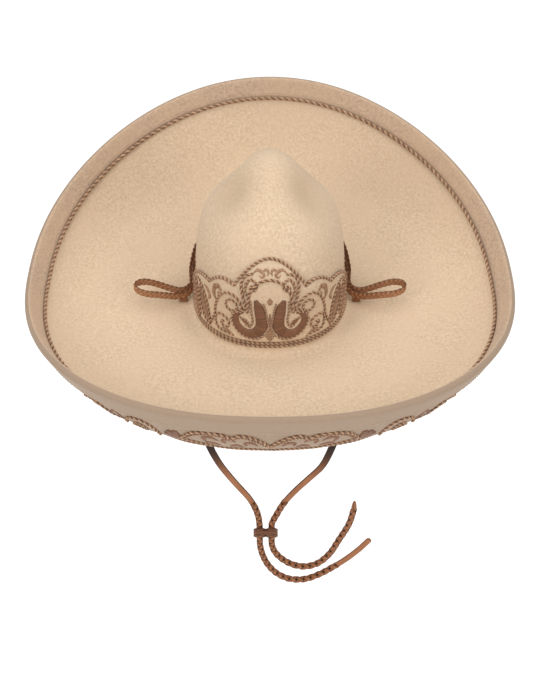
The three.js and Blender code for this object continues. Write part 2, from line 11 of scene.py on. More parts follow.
import bpy
import numpy as np
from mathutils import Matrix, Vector


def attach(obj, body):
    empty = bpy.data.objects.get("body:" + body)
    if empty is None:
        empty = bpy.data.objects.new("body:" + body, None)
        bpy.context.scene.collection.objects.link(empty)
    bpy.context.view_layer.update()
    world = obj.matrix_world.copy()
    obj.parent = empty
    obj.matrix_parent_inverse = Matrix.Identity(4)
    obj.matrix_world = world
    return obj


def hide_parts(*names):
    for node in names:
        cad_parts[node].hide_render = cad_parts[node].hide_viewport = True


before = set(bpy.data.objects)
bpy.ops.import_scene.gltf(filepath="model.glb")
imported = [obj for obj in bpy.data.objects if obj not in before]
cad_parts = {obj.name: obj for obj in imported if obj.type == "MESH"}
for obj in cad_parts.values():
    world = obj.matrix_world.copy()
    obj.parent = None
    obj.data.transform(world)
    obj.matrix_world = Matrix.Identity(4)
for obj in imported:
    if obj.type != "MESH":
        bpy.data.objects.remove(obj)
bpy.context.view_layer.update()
METRES = 0.001

# %% [markdown]
# ## The camera
# The hat is seen from the front and well above, as on a shop's display head. A long
# lens keeps the wide brim from swelling towards the viewer, so the camera stands
# 1.8 metres away. It aims a little below the crown, so that the strap is in view too.

# %% Camera
CAMERA_HEIGHT_ANGLE = math.radians(37)
CAMERA_DISTANCE = 1.8
CAMERA_TARGET_Z = -0.0554
lens_data = bpy.data.cameras.new("camera")
lens_data.lens = 77.2
lens_data.sensor_width = 36
lens_data.clip_end = 20
camera = bpy.data.objects.new("camera", lens_data)
camera.location = (
    0,
    -CAMERA_DISTANCE * math.cos(CAMERA_HEIGHT_ANGLE),
    CAMERA_TARGET_Z + CAMERA_DISTANCE * math.sin(CAMERA_HEIGHT_ANGLE),
)
camera.rotation_euler = (math.pi / 2 - CAMERA_HEIGHT_ANGLE, 0, 0)
bpy.context.scene.collection.objects.link(camera)
bpy.context.scene.camera = camera
print("camera at", tuple(round(v, 3) for v in camera.location))

# %% [markdown]
# ## Smooth paths
# Cords, laces and stitches all follow a line through a few chosen points. A curve
# object could draw them, but plies that twist round each other need the line's
# points and directions as numbers. So the line is worked out here: a Catmull-Rom
# spline that passes through every point, cut into even steps.

# %% Paths through chosen points
def spline(points, spans=14, closed=False):
    """A centripetal Catmull-Rom curve through the points."""
    given = np.asarray(points, float)
    if closed:
        padded = np.vstack([given[-1], given, given[0], given[1]])
    else:
        padded = np.vstack([2 * given[0] - given[1], given, 2 * given[-1] - given[-2]])
    share = np.linspace(0, 1, spans, endpoint=False)[:, None]
    drawn = []
    for before, start, end, after in zip(padded, padded[1:], padded[2:], padded[3:]):
        k1 = np.linalg.norm(start - before) ** 0.5
        k2 = k1 + np.linalg.norm(end - start) ** 0.5
        k3 = k2 + np.linalg.norm(after - end) ** 0.5
        k = k1 + (k2 - k1) * share
        a = (k1 - k) / k1 * before + k / k1 * start
        b = (k2 - k) / (k2 - k1) * start + (k - k1) / (k2 - k1) * end
        c = (k3 - k) / (k3 - k2) * end + (k - k2) / (k3 - k2) * after
        inner = (k2 - k) / k2 * a + k / k2 * b
        outer = (k3 - k) / (k3 - k1) * b + (k - k1) / (k3 - k1) * c
        drawn.append((k2 - k) / (k2 - k1) * inner + (k - k1) / (k2 - k1) * outer)
    if not closed:
        drawn.append(given[-1:])
    return np.vstack(drawn)


def travelled(path):
    """The distance along the path at each of its points."""
    return np.concatenate([[0], np.cumsum(np.linalg.norm(np.diff(path, axis=0), axis=1))])


def at_places(places, along, line):
    """The line's values at some distances, from its values at the distances along."""
    return np.stack([np.interp(places, along, column) for column in np.asarray(line).T], axis=1)


def even_steps(path, step, *carried):
    """The path, and anything carried along it, at even steps."""
    along = travelled(path)
    count = max(2, int(round(along[-1] / step)) + 1)
    places = np.linspace(0, along[-1], count)
    lists = [at_places(places, along, line) for line in (path, *carried)]
    return lists if carried else lists[0]


def eased(value):
    """0 to 1 with a soft start and end."""
    value = np.clip(value, 0, 1)
    return value**2 * (3 - 2 * value)


def unit(vectors):
    return vectors / np.maximum(np.linalg.norm(vectors, axis=-1, keepdims=True), 1e-9)


def directions(path, closed=False):
    """The direction of travel at each point."""
    if closed:
        return unit(np.roll(path, -1, axis=0) - np.roll(path, 1, axis=0))
    return unit(np.gradient(path, axis=0))


def square_to(vectors, along):
    """The part of each vector that is square to the direction of travel."""
    return unit(vectors - along * np.sum(vectors * along, axis=-1, keepdims=True))


# %% [markdown]
# ## Collecting a piece's mesh
# Each piece is a closed skin of four-sided faces: rings of points, joined to the next
# ring. A piece made of many strands or stitches collects them all in one Work, which
# then becomes one object. Every point also carries two numbers that the materials
# use: `tone`, which tells strands and threads apart, and `edge`, which is 1 where
# leather is cut, and where leather and felt are painted dark as shade.

# %% A piece being made
class Work:
    def __init__(self):
        self.points = []
        self.faces = []
        self.tone = []
        self.edge = []
        self.count = 0

    def skin(self, rings, join_rings=False, poles=False, tone=0.5, edge=0.0):
        """Adds a closed skin. rings is an array of rings of points; the ends are flat
        faces, single points when poles is set, or meet each other."""
        rings = np.asarray(rings, float)
        rows, around = rings.shape[:2]
        ends = [] if join_rings else [rings[0].mean(axis=0), rings[-1].mean(axis=0)]
        index = np.arange(rows * around).reshape(rows, around)
        lower = index if join_rings else index[:-1]
        upper = np.roll(index, -1, axis=0) if join_rings else index[1:]
        quads = np.stack([lower, np.roll(lower, -1, 1), np.roll(upper, -1, 1), upper], axis=-1)
        faces = quads.reshape(-1, 4).tolist()
        points = rings.reshape(-1, 3)
        tones = np.broadcast_to(np.asarray(tone, float), (rows, around)).reshape(-1)
        edges = np.broadcast_to(np.asarray(edge, float), (rows, around)).reshape(-1)
        if poles:
            points = np.vstack([points, ends])
            tones = np.append(tones, [tones[0], tones[-1]])
            edges = np.append(edges, [edges[0], edges[-1]])
            first, last = rows * around, rows * around + 1
            faces += [[first, b, a] for a, b in zip(index[0], np.roll(index[0], -1))]
            faces += [[last, a, b] for a, b in zip(index[-1], np.roll(index[-1], -1))]
        elif not join_rings:
            faces += [index[0][::-1].tolist(), index[-1].tolist()]
        if self.volume(points, quads) < 0:
            faces = [face[::-1] for face in faces]
        self.faces += [[corner + self.count for corner in face] for face in faces]
        self.points.append(points)
        self.tone.append(tones)
        self.edge.append(edges)
        self.count += len(points)

    @staticmethod
    def volume(points, quads):
        """A number in step with the skin's volume; its sign tells which way it faces."""
        quads = quads.reshape(-1, 4)
        middle = points.mean(axis=0)
        a, b, c, d = (points[quads[:, corner]] - middle for corner in range(4))
        return float(np.sum(np.cross(c - a, d - b) * (a + b + c + d)))

    def finish(self, name, finish, body, *replaced, slot=None):
        """Makes the object, gives it its material and hangs it on its body."""
        mesh = bpy.data.meshes.new(name)
        points = np.vstack(self.points) * METRES
        mesh.from_pydata(points.tolist(), [], self.faces)
        mesh.polygons.foreach_set("use_smooth", [True] * len(mesh.polygons))
        for label, values in (("tone", self.tone), ("edge", self.edge)):
            layer = mesh.attributes.new(label, "FLOAT", "POINT")
            layer.data.foreach_set("value", np.concatenate(values))
        mesh.materials.append(finish)
        piece = bpy.data.objects.new(name, mesh)
        bpy.context.scene.collection.objects.link(piece)
        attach(piece, body)
        if replaced:
            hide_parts(*replaced)
        print(f"{name}: {len(mesh.vertices)} points")
        return piece


def tube_rings(path, across, through, facing, sides=8, closed=False, taper=None):
    """Rings of an oval section along a path. facing is the direction of its thickness."""
    along = directions(path, closed)
    out = square_to(facing, along)
    side = np.cross(along, out)
    angle = np.linspace(0, 2 * math.pi, sides, endpoint=False)
    scale = np.ones(len(path)) if taper is None else np.asarray(taper)
    wide = side[:, None, :] * np.cos(angle)[None, :, None] * across
    thick = out[:, None, :] * np.sin(angle)[None, :, None] * through
    return path[:, None, :] + (wide + thick) * scale[:, None, None]


def add_tube(work, path, across, through, facing, sides=8, closed=False, taper=None, tone=0.5, edge=0.0):
    rings = tube_rings(path, across, through, facing, sides, closed, taper)
    work.skin(rings, join_rings=closed, tone=tone, edge=edge)


# %% [markdown]
# ## The hat's shape
# The crown is an oval wall with a small flare at its foot and a dome on top, into
# which a hand has pressed four soft dents. The brim runs out almost flat and curls up
# at its rim, most of all at the back. Both are formulas of a turn round the hat and a
# climb up it, so that the felt, the cords laid on it and the needlework all agree.
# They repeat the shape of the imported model. The brim also gets the faint waviness
# that steamed felt keeps.

# %% Crown shape
CROWN_HALF_WIDTH, CROWN_HALF_LENGTH, CROWN_POWER = 88, 106, 2.2
FLARE_RADIUS, WALL_TOP, CROWN_TOP, CROWN_LEAN = 13, 70, 192, 20
FELT = 2.6
DENT_DEPTH, DENT_SPREAD, DENT_HEIGHT = 13, 24, 165
DENT_CENTRES = [(47, -14), (-47, -14), (47, 56), (-47, 56)]


def oval_radius(turn, half_width, half_length, power):
    across = np.abs(np.sin(turn) / half_width) ** power
    along = np.abs(np.cos(turn) / half_length) ** power
    return (across + along) ** (-1 / power)


def polar(turn, radius, height):
    turn, radius, height = np.broadcast_arrays(turn, radius, height)
    return np.stack([radius * np.sin(turn), -radius * np.cos(turn), height], axis=-1)


def crown_radius(turn):
    return oval_radius(turn, CROWN_HALF_WIDTH, CROWN_HALF_LENGTH, CROWN_POWER)


def dent_depth(points):
    depth = 0
    for x, y in DENT_CENTRES:
        away = np.linalg.norm(points - np.array([x, y, DENT_HEIGHT]), axis=-1)
        depth = depth + DENT_DEPTH * np.exp(-away**2 / (2 * DENT_SPREAD**2))
    return depth


def crown_point(turn, climb, lift=0):
    """climb 0 to 1 is the flare, 1 to 2 the wall and 2 to 3 the dome."""
    turn, climb, lift = np.broadcast_arrays(np.asarray(turn, float), np.asarray(climb, float), lift)
    radius = crown_radius(turn)
    lean = np.clip(climb, 0, 1) * math.pi / 2
    arm = FLARE_RADIUS - lift
    flare = polar(turn, radius + FLARE_RADIUS - arm * np.sin(lean), FLARE_RADIUS - arm * np.cos(lean))
    wall = polar(turn, radius + lift, FLARE_RADIUS + (WALL_TOP - FLARE_RADIUS) * (climb - 1))
    angle = np.clip(climb - 2, 0, 1) * math.pi / 2
    rise = CROWN_TOP - WALL_TOP
    dome = polar(turn, radius * np.cos(angle), WALL_TOP + rise * np.sin(angle))
    dome[..., 1] += CROWN_LEAN * np.sin(angle) ** 1.5
    slope = np.stack([np.cos(angle) * rise, np.sin(angle) * radius], axis=-1)
    slope /= np.linalg.norm(slope, axis=-1, keepdims=True)
    push = lift - dent_depth(dome)
    dome = dome + polar(turn, slope[..., 0] * push, slope[..., 1] * push)
    place = climb[..., None]
    return np.where(place <= 1, flare, np.where(place <= 2, wall, dome))


def climb_at(height):
    height = np.asarray(height, float)
    flare = np.arccos(1 - np.clip(height, 0, FLARE_RADIUS) / FLARE_RADIUS) / (math.pi / 2)
    wall = 1 + (height - FLARE_RADIUS) / (WALL_TOP - FLARE_RADIUS)
    dome = 2 + np.arcsin(np.clip((height - WALL_TOP) / (CROWN_TOP - WALL_TOP), 0, 1)) / (math.pi / 2)
    return np.where(height <= FLARE_RADIUS, flare, np.where(height <= WALL_TOP, wall, dome))


print("crown wall at the front:", crown_point(0, 1.5).round(1))

# %% Brim shape
RIM_HALF_WIDTH, RIM_HALF_LENGTH, RIM_POWER = 282, 283, 2.3
RIM_HEIGHT = (70.5, -42, 29, -8.5)
CURL_HEIGHT = (47.5, 3.5, 14)
CURL_START = (0.68, 0.093)
CURL_POWER = 2.2
WAVINESS = 0.5


def series(terms, turn):
    return sum(term * np.cos(order * turn) for order, term in enumerate(terms))


def brim_rise(turn, share):
    curl = series(CURL_HEIGHT, turn)
    start = series(CURL_START, turn)
    bow = series(RIM_HEIGHT, turn) - curl
    wave = WAVINESS * np.sin(5 * turn + 1) * np.sin(3 * turn) * np.sin(math.pi * np.clip(share, 0, 1))
    return bow * share**2 + curl * np.maximum(0, (share - start) / (1 - start)) ** CURL_POWER + wave


def brim_width(turn):
    return oval_radius(turn, RIM_HALF_WIDTH, RIM_HALF_LENGTH, RIM_POWER) - crown_radius(turn) - FLARE_RADIUS


def brim_slope(turn, share):
    step = 0.001
    return (brim_rise(turn, share) - brim_rise(turn, share - step)) / (step * brim_width(turn))


def brim_point(turn, share, lift=0, out=0):
    """share 0 is the foot of the crown and 1 the rim; out is past the rim, along the felt."""
    slope = brim_slope(turn, share)
    length = np.hypot(1, slope)
    foot = crown_radius(turn) + FLARE_RADIUS
    radius = foot + share * brim_width(turn) + (out - lift * slope) / length
    return polar(turn, radius, brim_rise(turn, share) + (out * slope + lift) / length)


def share_in_from_rim(turn, inset):
    """The share that lies a distance in from the rim, measured along the felt."""
    turn, inset = np.broadcast_arrays(np.asarray(turn, float), np.asarray(inset, float))
    share = np.ones(turn.shape)
    walked = 0.0
    while walked < inset.max():
        step = np.clip(inset - walked, 0, 1.0)
        share = share - step / (brim_width(turn) * np.hypot(1, brim_slope(turn, share)))
        walked += 1.0
    return share


print("rim height at the front and back:", brim_rise(np.array([0, math.pi]), 1).round(1))

# %% [markdown]
# ## Materials as expressions
# A procedural material is mostly arithmetic on noise. Wiring each Math node by hand
# buries that arithmetic, so a socket is wrapped in a small class whose operators add
# the nodes. Then `1 - mask` reads as it is meant. Colours are mixed by Mix nodes,
# because a Math node would turn them grey.

# %% Sockets with arithmetic
class Flow:
    """An output socket that can be used in arithmetic."""

    def __init__(self, finish, socket):
        self.finish = finish
        self.socket = socket

    def maths(self, operation, first, second):
        return self.finish.node("ShaderNodeMath", {"operation": operation}, {0: first, 1: second})

    def __add__(self, other):
        return self.maths("ADD", self, other)

    def __radd__(self, other):
        return self.maths("ADD", other, self)

    def __sub__(self, other):
        return self.maths("SUBTRACT", self, other)

    def __rsub__(self, other):
        return self.maths("SUBTRACT", other, self)

    def __mul__(self, other):
        return self.maths("MULTIPLY", self, other)

    def __rmul__(self, other):
        return self.maths("MULTIPLY", other, self)


class Finish:
    """A material's nodes, added one call at a time."""

    def __init__(self, name):
        self.material = bpy.data.materials.new(name)
        self.material.use_nodes = True
        self.tree = self.material.node_tree
        self.shader = self.tree.nodes["Principled BSDF"]
        self.place = self.node("ShaderNodeTexCoord", output="Object")

    def node(self, kind, settings=None, sockets=None, output=0):
        made = self.tree.nodes.new(kind)
        for key, value in (settings or {}).items():
            setattr(made, key, value)
        for key, value in (sockets or {}).items():
            if isinstance(value, Flow):
                self.tree.links.new(value.socket, made.inputs[key])
            else:
                made.inputs[key].default_value = value
        return Flow(self, made.outputs[output])

    def noise(self, size, detail=2, roughness=0.5):
        """Noise whose blotches are about the given size, in millimetres."""
        scale = 1 / (size * METRES)
        sockets = {"Vector": self.place, "Scale": scale, "Detail": detail, "Roughness": roughness}
        return self.node("ShaderNodeTexNoise", sockets=sockets)

    def number(self, label):
        """One of the numbers that Work stores on each point."""
        return self.node("ShaderNodeAttribute", {"attribute_name": label}, output="Fac")

    def between(self, low, high, value):
        """0 below low, 1 above high and smooth between."""
        settings = {"interpolation_type": "SMOOTHSTEP"}
        return self.node("ShaderNodeMapRange", settings, {"Value": value, "From Min": low, "From Max": high})

    def mix(self, share, first, second):
        """A colour between two others."""
        pair = [(*colour, 1) if isinstance(colour, tuple) else colour for colour in (first, second)]
        sockets = {"Factor": share, 6: pair[0], 7: pair[1]}
        return self.node("ShaderNodeMix", {"data_type": "RGBA"}, sockets, output=2)

    def wear(self, **sockets):
        """Sets or links the shader's sockets; underscores stand for spaces."""
        for key, value in sockets.items():
            socket = self.shader.inputs[key.replace("_", " ")]
            if isinstance(value, Flow):
                self.tree.links.new(value.socket, socket)
            else:
                socket.default_value = (*value, 1) if isinstance(value, tuple) else value

    def relief(self, height, depth):
        """Bump from a height between 0 and 1 that stands for a depth in millimetres."""
        sockets = {"Height": height, "Distance": depth * METRES, "Strength": 1.0}
        self.wear(Normal=self.node("ShaderNodeBump", sockets=sockets))


# %% [markdown]
# ## Felt
# Felt is a mat of very short fibres. Up close it is finely mottled, lighter
# where fibre tips catch the light and darker in the gaps between them, with a soft
# bloom at grazing angles. Two sizes of noise give the mottling, a broad one the
# unevenness of the dye, and the shader's sheen the bloom. Real fibres would be hair,
# which doesn't survive as a solid mesh.

# %% Felt
def make_felt(name, body, light, shade, shading=0.9):
    """shading tells how far the felt takes its shade colour, a painted shade, where edge is 1."""
    felt = Finish(name)
    fibre = felt.noise(0.9, detail=3, roughness=0.7)
    tuft = felt.noise(3.2, detail=2, roughness=0.6)
    dye = felt.noise(60, detail=2)
    mottle = felt.between(0.3, 0.72, fibre * 0.55 + tuft * 0.45)
    colour = felt.mix(mottle, shade, light)
    dyed = felt.mix(felt.between(0.35, 0.7, dye) * 0.55, colour, body)
    # Where edge is 1, in the crown's dents and on the outer side of the binding, the felt turns to its shade
    # colour: painted shade.
    shaded = felt.mix(mottle, tuple(channel * 0.9 for channel in shade), shade)
    felt.wear(Base_Color=felt.mix(felt.number("edge") * shading, dyed, shaded), Roughness=0.86 + mottle * 0.1)
    felt.wear(Sheen_Weight=0.25, Sheen_Roughness=0.55, Sheen_Tint=(0.95, 0.86, 0.74))
    felt.wear(Specular_IOR_Level=0.18)
    felt.relief(fibre * 0.6 + tuft * 0.4, 0.45)
    return felt.material


FELT_BODY = (0.66, 0.49, 0.335)
FELT_LIGHT = (0.76, 0.60, 0.43)
FELT_SHADE = (0.52, 0.37, 0.235)
hood_felt = make_felt("hood_felt", FELT_BODY, FELT_LIGHT, FELT_SHADE, 0.75)
# The under felt is painted about half as bright as the hood felt, and the binding's shade colour matches it:
# painted shade under the brim and on its outer wall.
under_felt = make_felt("under_felt", (0.33, 0.235, 0.165), (0.39, 0.28, 0.20), (0.27, 0.19, 0.132))
binding_felt = make_felt("binding_felt", (0.55, 0.38, 0.25), (0.64, 0.455, 0.31), (0.35, 0.25, 0.176), 1.0)

# %% [markdown]
# ## Thread, leather and lining
# What the threads and leathers really are isn't known, so they are made by their looks.
# The thread is firm, with a slight shine on each strand, and no two strands are quite
# alike. The leather is paler where it is rubbed and dark at its cut edges; the top of
# the chin strap, the braid's core and the loops' stubs are also darkened, as painted
# shade. The tone of each strand comes from the mesh, so that a strand keeps its colour
# as it dives under the others.

# %% Thread
def make_thread(name, dark, light, gloss):
    thread = Finish(name)
    twist = thread.noise(0.7, detail=2, roughness=0.6)
    patch = thread.noise(14, detail=1)
    tone = thread.number("tone")
    pale = thread.between(0.15, 0.95, tone * 0.62 + twist * 0.3 + patch * 0.22 - 0.1)
    thread.wear(Base_Color=thread.mix(pale, dark, light), Roughness=gloss + twist * 0.25)
    thread.wear(Sheen_Weight=0.15, Sheen_Roughness=0.4)
    thread.relief(twist, 0.2)
    return thread.material


def make_leather(name, dark, body, light, gloss):
    leather = Finish(name)
    pores = leather.node("ShaderNodeTexVoronoi", {"feature": "F1"}, {"Vector": leather.place, "Scale": 1400})
    crease = leather.noise(2.6, detail=3, roughness=0.65)
    patch = leather.noise(22, detail=2)
    tone = leather.number("tone")
    pale = leather.between(0.2, 0.85, patch * 0.45 + crease * 0.3 + tone * 0.35)
    skin = leather.mix(pale, body, light)
    # edge is 1 at cut edges, and also where the chin strap, its braid's core and the loops' stubs are painted
    # dark as shade.
    dark_share = leather.between(0.25, 0.9, leather.number("edge"))
    leather.wear(Base_Color=leather.mix(dark_share * 0.97, skin, dark), Roughness=gloss + crease * 0.22)
    leather.wear(Specular_IOR_Level=0.22)
    leather.relief(pores * 0.35 + crease * 0.65, 0.16)
    return leather.material


cord_thread = make_thread("cord_thread", (0.15, 0.060, 0.026), (0.74, 0.48, 0.29), 0.5)
fine_thread = make_thread("fine_thread", (0.16, 0.064, 0.028), (0.66, 0.41, 0.24), 0.52)
satin_thread = make_thread("satin_thread", (0.12, 0.046, 0.020), (0.38, 0.175, 0.086), 0.45)
strap_leather = make_leather(
    "strap_leather", (0.014, 0.006, 0.004), (0.24, 0.085, 0.034), (0.36, 0.15, 0.066), 0.42
)
loop_leather = make_leather(
    "loop_leather", (0.08, 0.030, 0.013), (0.29, 0.120, 0.052), (0.46, 0.235, 0.125), 0.48
)
slider_leather = make_leather(
    "slider_leather", (0.03, 0.011, 0.006), (0.11, 0.042, 0.020), (0.19, 0.078, 0.038), 0.45
)
sweat_leather = make_leather(
    "sweat_leather", (0.05, 0.02, 0.01), (0.17, 0.075, 0.036), (0.24, 0.115, 0.058), 0.4
)


# %% Lining, wire and floor
def make_lining():
    lining = Finish("lining_satin")
    corners = lining.node("ShaderNodeSeparateXYZ", sockets={"Vector": lining.place}, output="X")
    weave = lining.node("ShaderNodeTexWave", {"bands_direction": "DIAGONAL"},
                        {"Vector": lining.place, "Scale": 520, "Distortion": 1.2, "Detail": 1})
    patch = lining.noise(30)
    pale = lining.between(0.1, 0.9, weave * 0.4 + patch * 0.5 + corners * 0.2)
    satin = lining.mix(pale, (0.58, 0.46, 0.31), (0.74, 0.63, 0.46))
    lining.wear(Base_Color=satin, Roughness=0.34 + weave * 0.12)
    lining.wear(Sheen_Weight=0.3)
    lining.relief(weave, 0.06)
    return lining.material


def make_wire():
    wire = Finish("drawn_wire")
    scratch = wire.noise(1.2, detail=3)
    wire.wear(Base_Color=wire.mix(scratch, (0.42, 0.42, 0.43), (0.62, 0.62, 0.63)), Metallic=1.0)
    wire.wear(Roughness=0.28 + scratch * 0.2)
    return wire.material


def make_floor():
    floor = Finish("pale_floor")
    cloud = floor.noise(400, detail=1)
    floor.wear(Base_Color=floor.mix(cloud, (0.92, 0.92, 0.92), (0.94, 0.94, 0.94)), Roughness=0.95)
    # The floor glows faintly: painted light that keeps it white where the hat's shadow falls and lights the
    # hat from below.
    floor.wear(Emission_Color=(1.0, 1.0, 1.0), Emission_Strength=0.3)
    return floor.material


lining_satin = make_lining()
drawn_wire = make_wire()
print("materials:", len(bpy.data.materials))

# %% [markdown]
# ## The chin strap
# Each strap starts as a flat strip of leather that comes down out of its slot in the
# brim and narrows a little on its way. Lower down the strip is slit into laces, and the
# laces are braided round each other into a cord. The two cords run side by side through
# the slider and end in loose tails. The brim hides the upper part of each strap, and
# its route there is an assumption: it hangs smoothly from the slot.
# A texture can't give a braid its outline, so every lace is its own strip of leather
# that weaves over and under the others.

# %% Strap routes, in the plane of the hat's middle
SLIDER_X, SLIDER_Z, STRAND_SPACING = -6, -394, 16.4
LEFT_STRAND = SLIDER_X - STRAND_SPACING / 2
RIGHT_STRAND = SLIDER_X + STRAND_SPACING / 2
STRAP_TOP = -12
ANCHOR_X = 105
LEFT_ROUTE = [
    (-ANCHOR_X, STRAP_TOP), (-ANCHOR_X, -38), (-104.3, -75), (-102, -112), (-98, -148), (-91.5, -186),
    (-84.5, -217), (-77.5, -241), (-66, -268), (-51.8, -292.4), (-39, -312), (-28, -329), (-20, -347),
    (-15.8, -364), (LEFT_STRAND - 0.4, -376), (LEFT_STRAND, -384), (LEFT_STRAND, SLIDER_Z),
    (LEFT_STRAND, -405), (LEFT_STRAND + 0.4, -418), (-10.5, -436), (-3, -456), (10, -474), (28, -485),
    (49, -485.5), (70, -475.5), (94, -457),
]
RIGHT_ROUTE = [
    (ANCHOR_X, STRAP_TOP), (ANCHOR_X, -38), (104.5, -75), (102.5, -112), (98.8, -148), (93, -186),
    (86.5, -217), (80.5, -241), (69, -270.5), (52, -292.5), (34.3, -314.5), (19.2, -337), (9.5, -358),
    (RIGHT_STRAND + 0.5, -376), (RIGHT_STRAND, -384), (RIGHT_STRAND, SLIDER_Z), (RIGHT_STRAND, -405),
    (RIGHT_STRAND + 0.9, -419), (8, -433), (18.5, -446.5), (33, -456.5), (49, -460), (66.5, -454),
    (82.5, -436), (96, -407), (109, -376), (114.5, -349),
]
TONGUE_ROUTE = [(94.5, -456.6), (109, -443), (125, -425), (139, -406)]
FRONT = np.array([0.0, -1.0, 0.0])


def in_plane(route):
    return np.array([(x, 0, z) for x, z in route], float)


left_path = spline(in_plane(LEFT_ROUTE))
right_path = spline(in_plane(RIGHT_ROUTE))
left_length, right_length = travelled(left_path)[-1], travelled(right_path)[-1]
print("strap lengths, mm:", round(left_length), round(right_length))


# %% Braided laces
BRAID_PITCH = 22
LACE_WIDTH, LACE_THICKNESS = 6.4, 2.4
STRIP_WIDTHS, STRIP_THICKNESS = (12.5, 8.6), 2.8
LACE_MIDDLE, LACE_WEAVE = 3.1, 0.5
CORE_RADIUS = 2.5


def add_round_braid(work, path, start, end):
    """Four laces braided round the stretch of path between two distances."""
    along = travelled(path)
    places = np.arange(start, end, 0.8)
    centre = at_places(places, along, path)
    forward = directions(centre)
    side = np.cross(forward, FRONT)
    for lace in range(4):
        hand = 1 if lace % 2 == 0 else -1
        turn = 2 * math.pi * places / BRAID_PITCH
        angle = hand * turn + math.pi * (lace // 2) + math.pi / 4
        radius = LACE_MIDDLE + hand * LACE_WEAVE * np.cos(2 * turn)
        out = side * np.cos(angle)[:, None] + FRONT * np.sin(angle)[:, None]
        add_lace(work, centre + out * radius[:, None], out, 0.35 + 0.1 * lace)
    # The core takes the leather's dark colour (tone 0.1, edge 0.8): painted shade, seen in the gaps between
    # the laces.
    add_tube(work, centre, CORE_RADIUS, CORE_RADIUS, np.broadcast_to(FRONT, centre.shape), tone=0.1, edge=0.8)


def add_lace(work, path, out, tone, width=LACE_WIDTH, thickness=LACE_THICKNESS, taper=None):
    """A flat lace, whose two edges are cut."""
    sides = 10
    rings = tube_rings(path, width / 2, thickness / 2, out, sides, taper=taper)
    around = np.linspace(0, 2 * math.pi, sides, endpoint=False)
    dark_share = np.clip(np.abs(np.cos(around)) * 1.5 - 0.6, 0, 1)
    work.skin(rings, tone=tone, edge=np.broadcast_to(dark_share, rings.shape[:2]))


STRIP_SHADE_END, STRIP_SHADE_FADE = 345, 150


def add_strip(work, path, start, end, widths, thickness, tone=0.6):
    """A flat strip with rounded edges along part of a path; widths at its two ends.
    Its upper part is darker: a painted shadow of the brim."""
    along = travelled(path)
    places = np.arange(start, end + 0.01, 1.6)
    centre = at_places(places, along, path)
    forward = directions(centre)
    side = np.cross(forward, FRONT)
    share = (places - start) / (end - start)
    half = (widths[0] + (widths[1] - widths[0]) * share) / 2
    half_thick = thickness / 2
    corner = np.array([-90, -60, -20, 20, 60, 90]) * math.pi / 180
    columns = []
    for sign in (1, -1):
        for angle in corner:
            reach = sign * (half - half_thick * (1 - np.cos(angle)))
            columns.append((reach, half_thick * math.sin(angle) * sign, abs(math.cos(angle))))
    rings = np.stack([centre + side * reach[:, None] + FRONT * depth for reach, depth, _ in columns], axis=1)
    # Painted shadow of the brim: the strip is dark for its first 195 mm and fades out by 345 mm.
    painted_brim_shadow = eased((STRIP_SHADE_END - places) / STRIP_SHADE_FADE)[:, None]
    edge = np.maximum(np.array([trim for _, _, trim in columns])[None, :], painted_brim_shadow)
    work.skin(rings, tone=tone, edge=edge)


def make_chin_strap(name, path, length, braid_top, node):
    work = Work()
    braid_start = np.interp(-braid_top, -path[:, 2], travelled(path))
    add_strip(work, path, 0, braid_start + 9, STRIP_WIDTHS, STRIP_THICKNESS)
    add_round_braid(work, path, braid_start, length)
    return work.finish(name, strap_leather, "chin_strap", node, slot="strap_leather")


strap_left = make_chin_strap("braided_strap_left", left_path, left_length, -338, "chin_strap_left")
strap_right = make_chin_strap("braided_strap_right", right_path, right_length, -335, "chin_strap_right")

# %% [markdown]
# ## The two ends of the strap
# The left tail ends in a smooth tongue, where the strip was never slit. On the right
# tail the laces are drawn together and trimmed to a blunt point.

# %% Strap ends
def make_tongue():
    work = Work()
    path = spline(in_plane(TONGUE_ROUTE))
    places = travelled(path)
    total = places[-1]
    fine = even_steps(path, 1.0)
    walked = travelled(fine)
    side = np.cross(directions(fine), FRONT)
    tip = np.sqrt(np.clip(1 - np.clip((walked - total + 3.2) / 3.2, 0, 1) ** 2, 0.02, 1))
    half = (4.6 - 0.3 * walked / total) * tip
    columns = []
    for sign in (1, -1):
        for angle in np.radians([-90, -50, 0, 50, 90]):
            reach = sign * (half - 1.2 + 1.2 * np.cos(angle))
            columns.append((reach, 1.5 * math.sin(angle) * sign, abs(math.cos(angle))))
    rings = np.stack([fine + side * reach[:, None] + FRONT * depth for reach, depth, _ in columns], axis=1)
    work.skin(rings, tone=0.75, edge=np.broadcast_to([trim * 0.6 for *_, trim in columns], rings.shape[:2]))
    return work.finish("strap_tongue", strap_leather, "chin_strap", "chin_tip_left", slot="strap_leather")


def make_point():
    work = Work()
    start, end = np.array([114.45, 0, -350.0]), np.array([115.0, 0, -333.6])
    share = np.linspace(0, 1, 14)[:, None]
    path = start + (end - start) * share
    radius = np.interp(share[:, 0], [0, 0.25, 0.6, 0.85, 1], [3.5, 4.3, 3.5, 2.4, 0.7])
    side = np.cross(directions(path), FRONT)
    for lace in range(4):
        angle = lace * math.pi / 2 + 0.6 + share[:, 0] * 1.3
        out = side * np.cos(angle)[:, None] + FRONT * np.sin(angle)[:, None]
        middle = path + out * (radius * 0.5)[:, None]
        add_lace(work, middle, out, 0.4 + 0.12 * lace, width=5.6, thickness=3.0, taper=radius / 4.3)
    return work.finish("strap_point", strap_leather, "chin_strap", "chin_tip_right", slot="strap_leather")


tongue = make_tongue()
point = make_point()

# %% [markdown]
# ## The slider
# A lace is wound three times round each strand and crosses between them at the back
# and the front, so that it grips both and can still be pushed along. Tilted rings give
# the turns, and two short crossings on each side pull them together.

# %% Slider
WRAP_RADIUS, WRAP_LACE = 6.7, 2.4
WRAP_TURNS, WRAP_PITCH, WRAP_TILT = 3, 5.0, 8.0
CROSSING = [(-7.5, -7.2, 2.3), (-3.2, -7.8, 2.0), (0, -7.2, 1.4), (3.2, -7.8, 2.0), (7.5, -7.2, 2.3)]


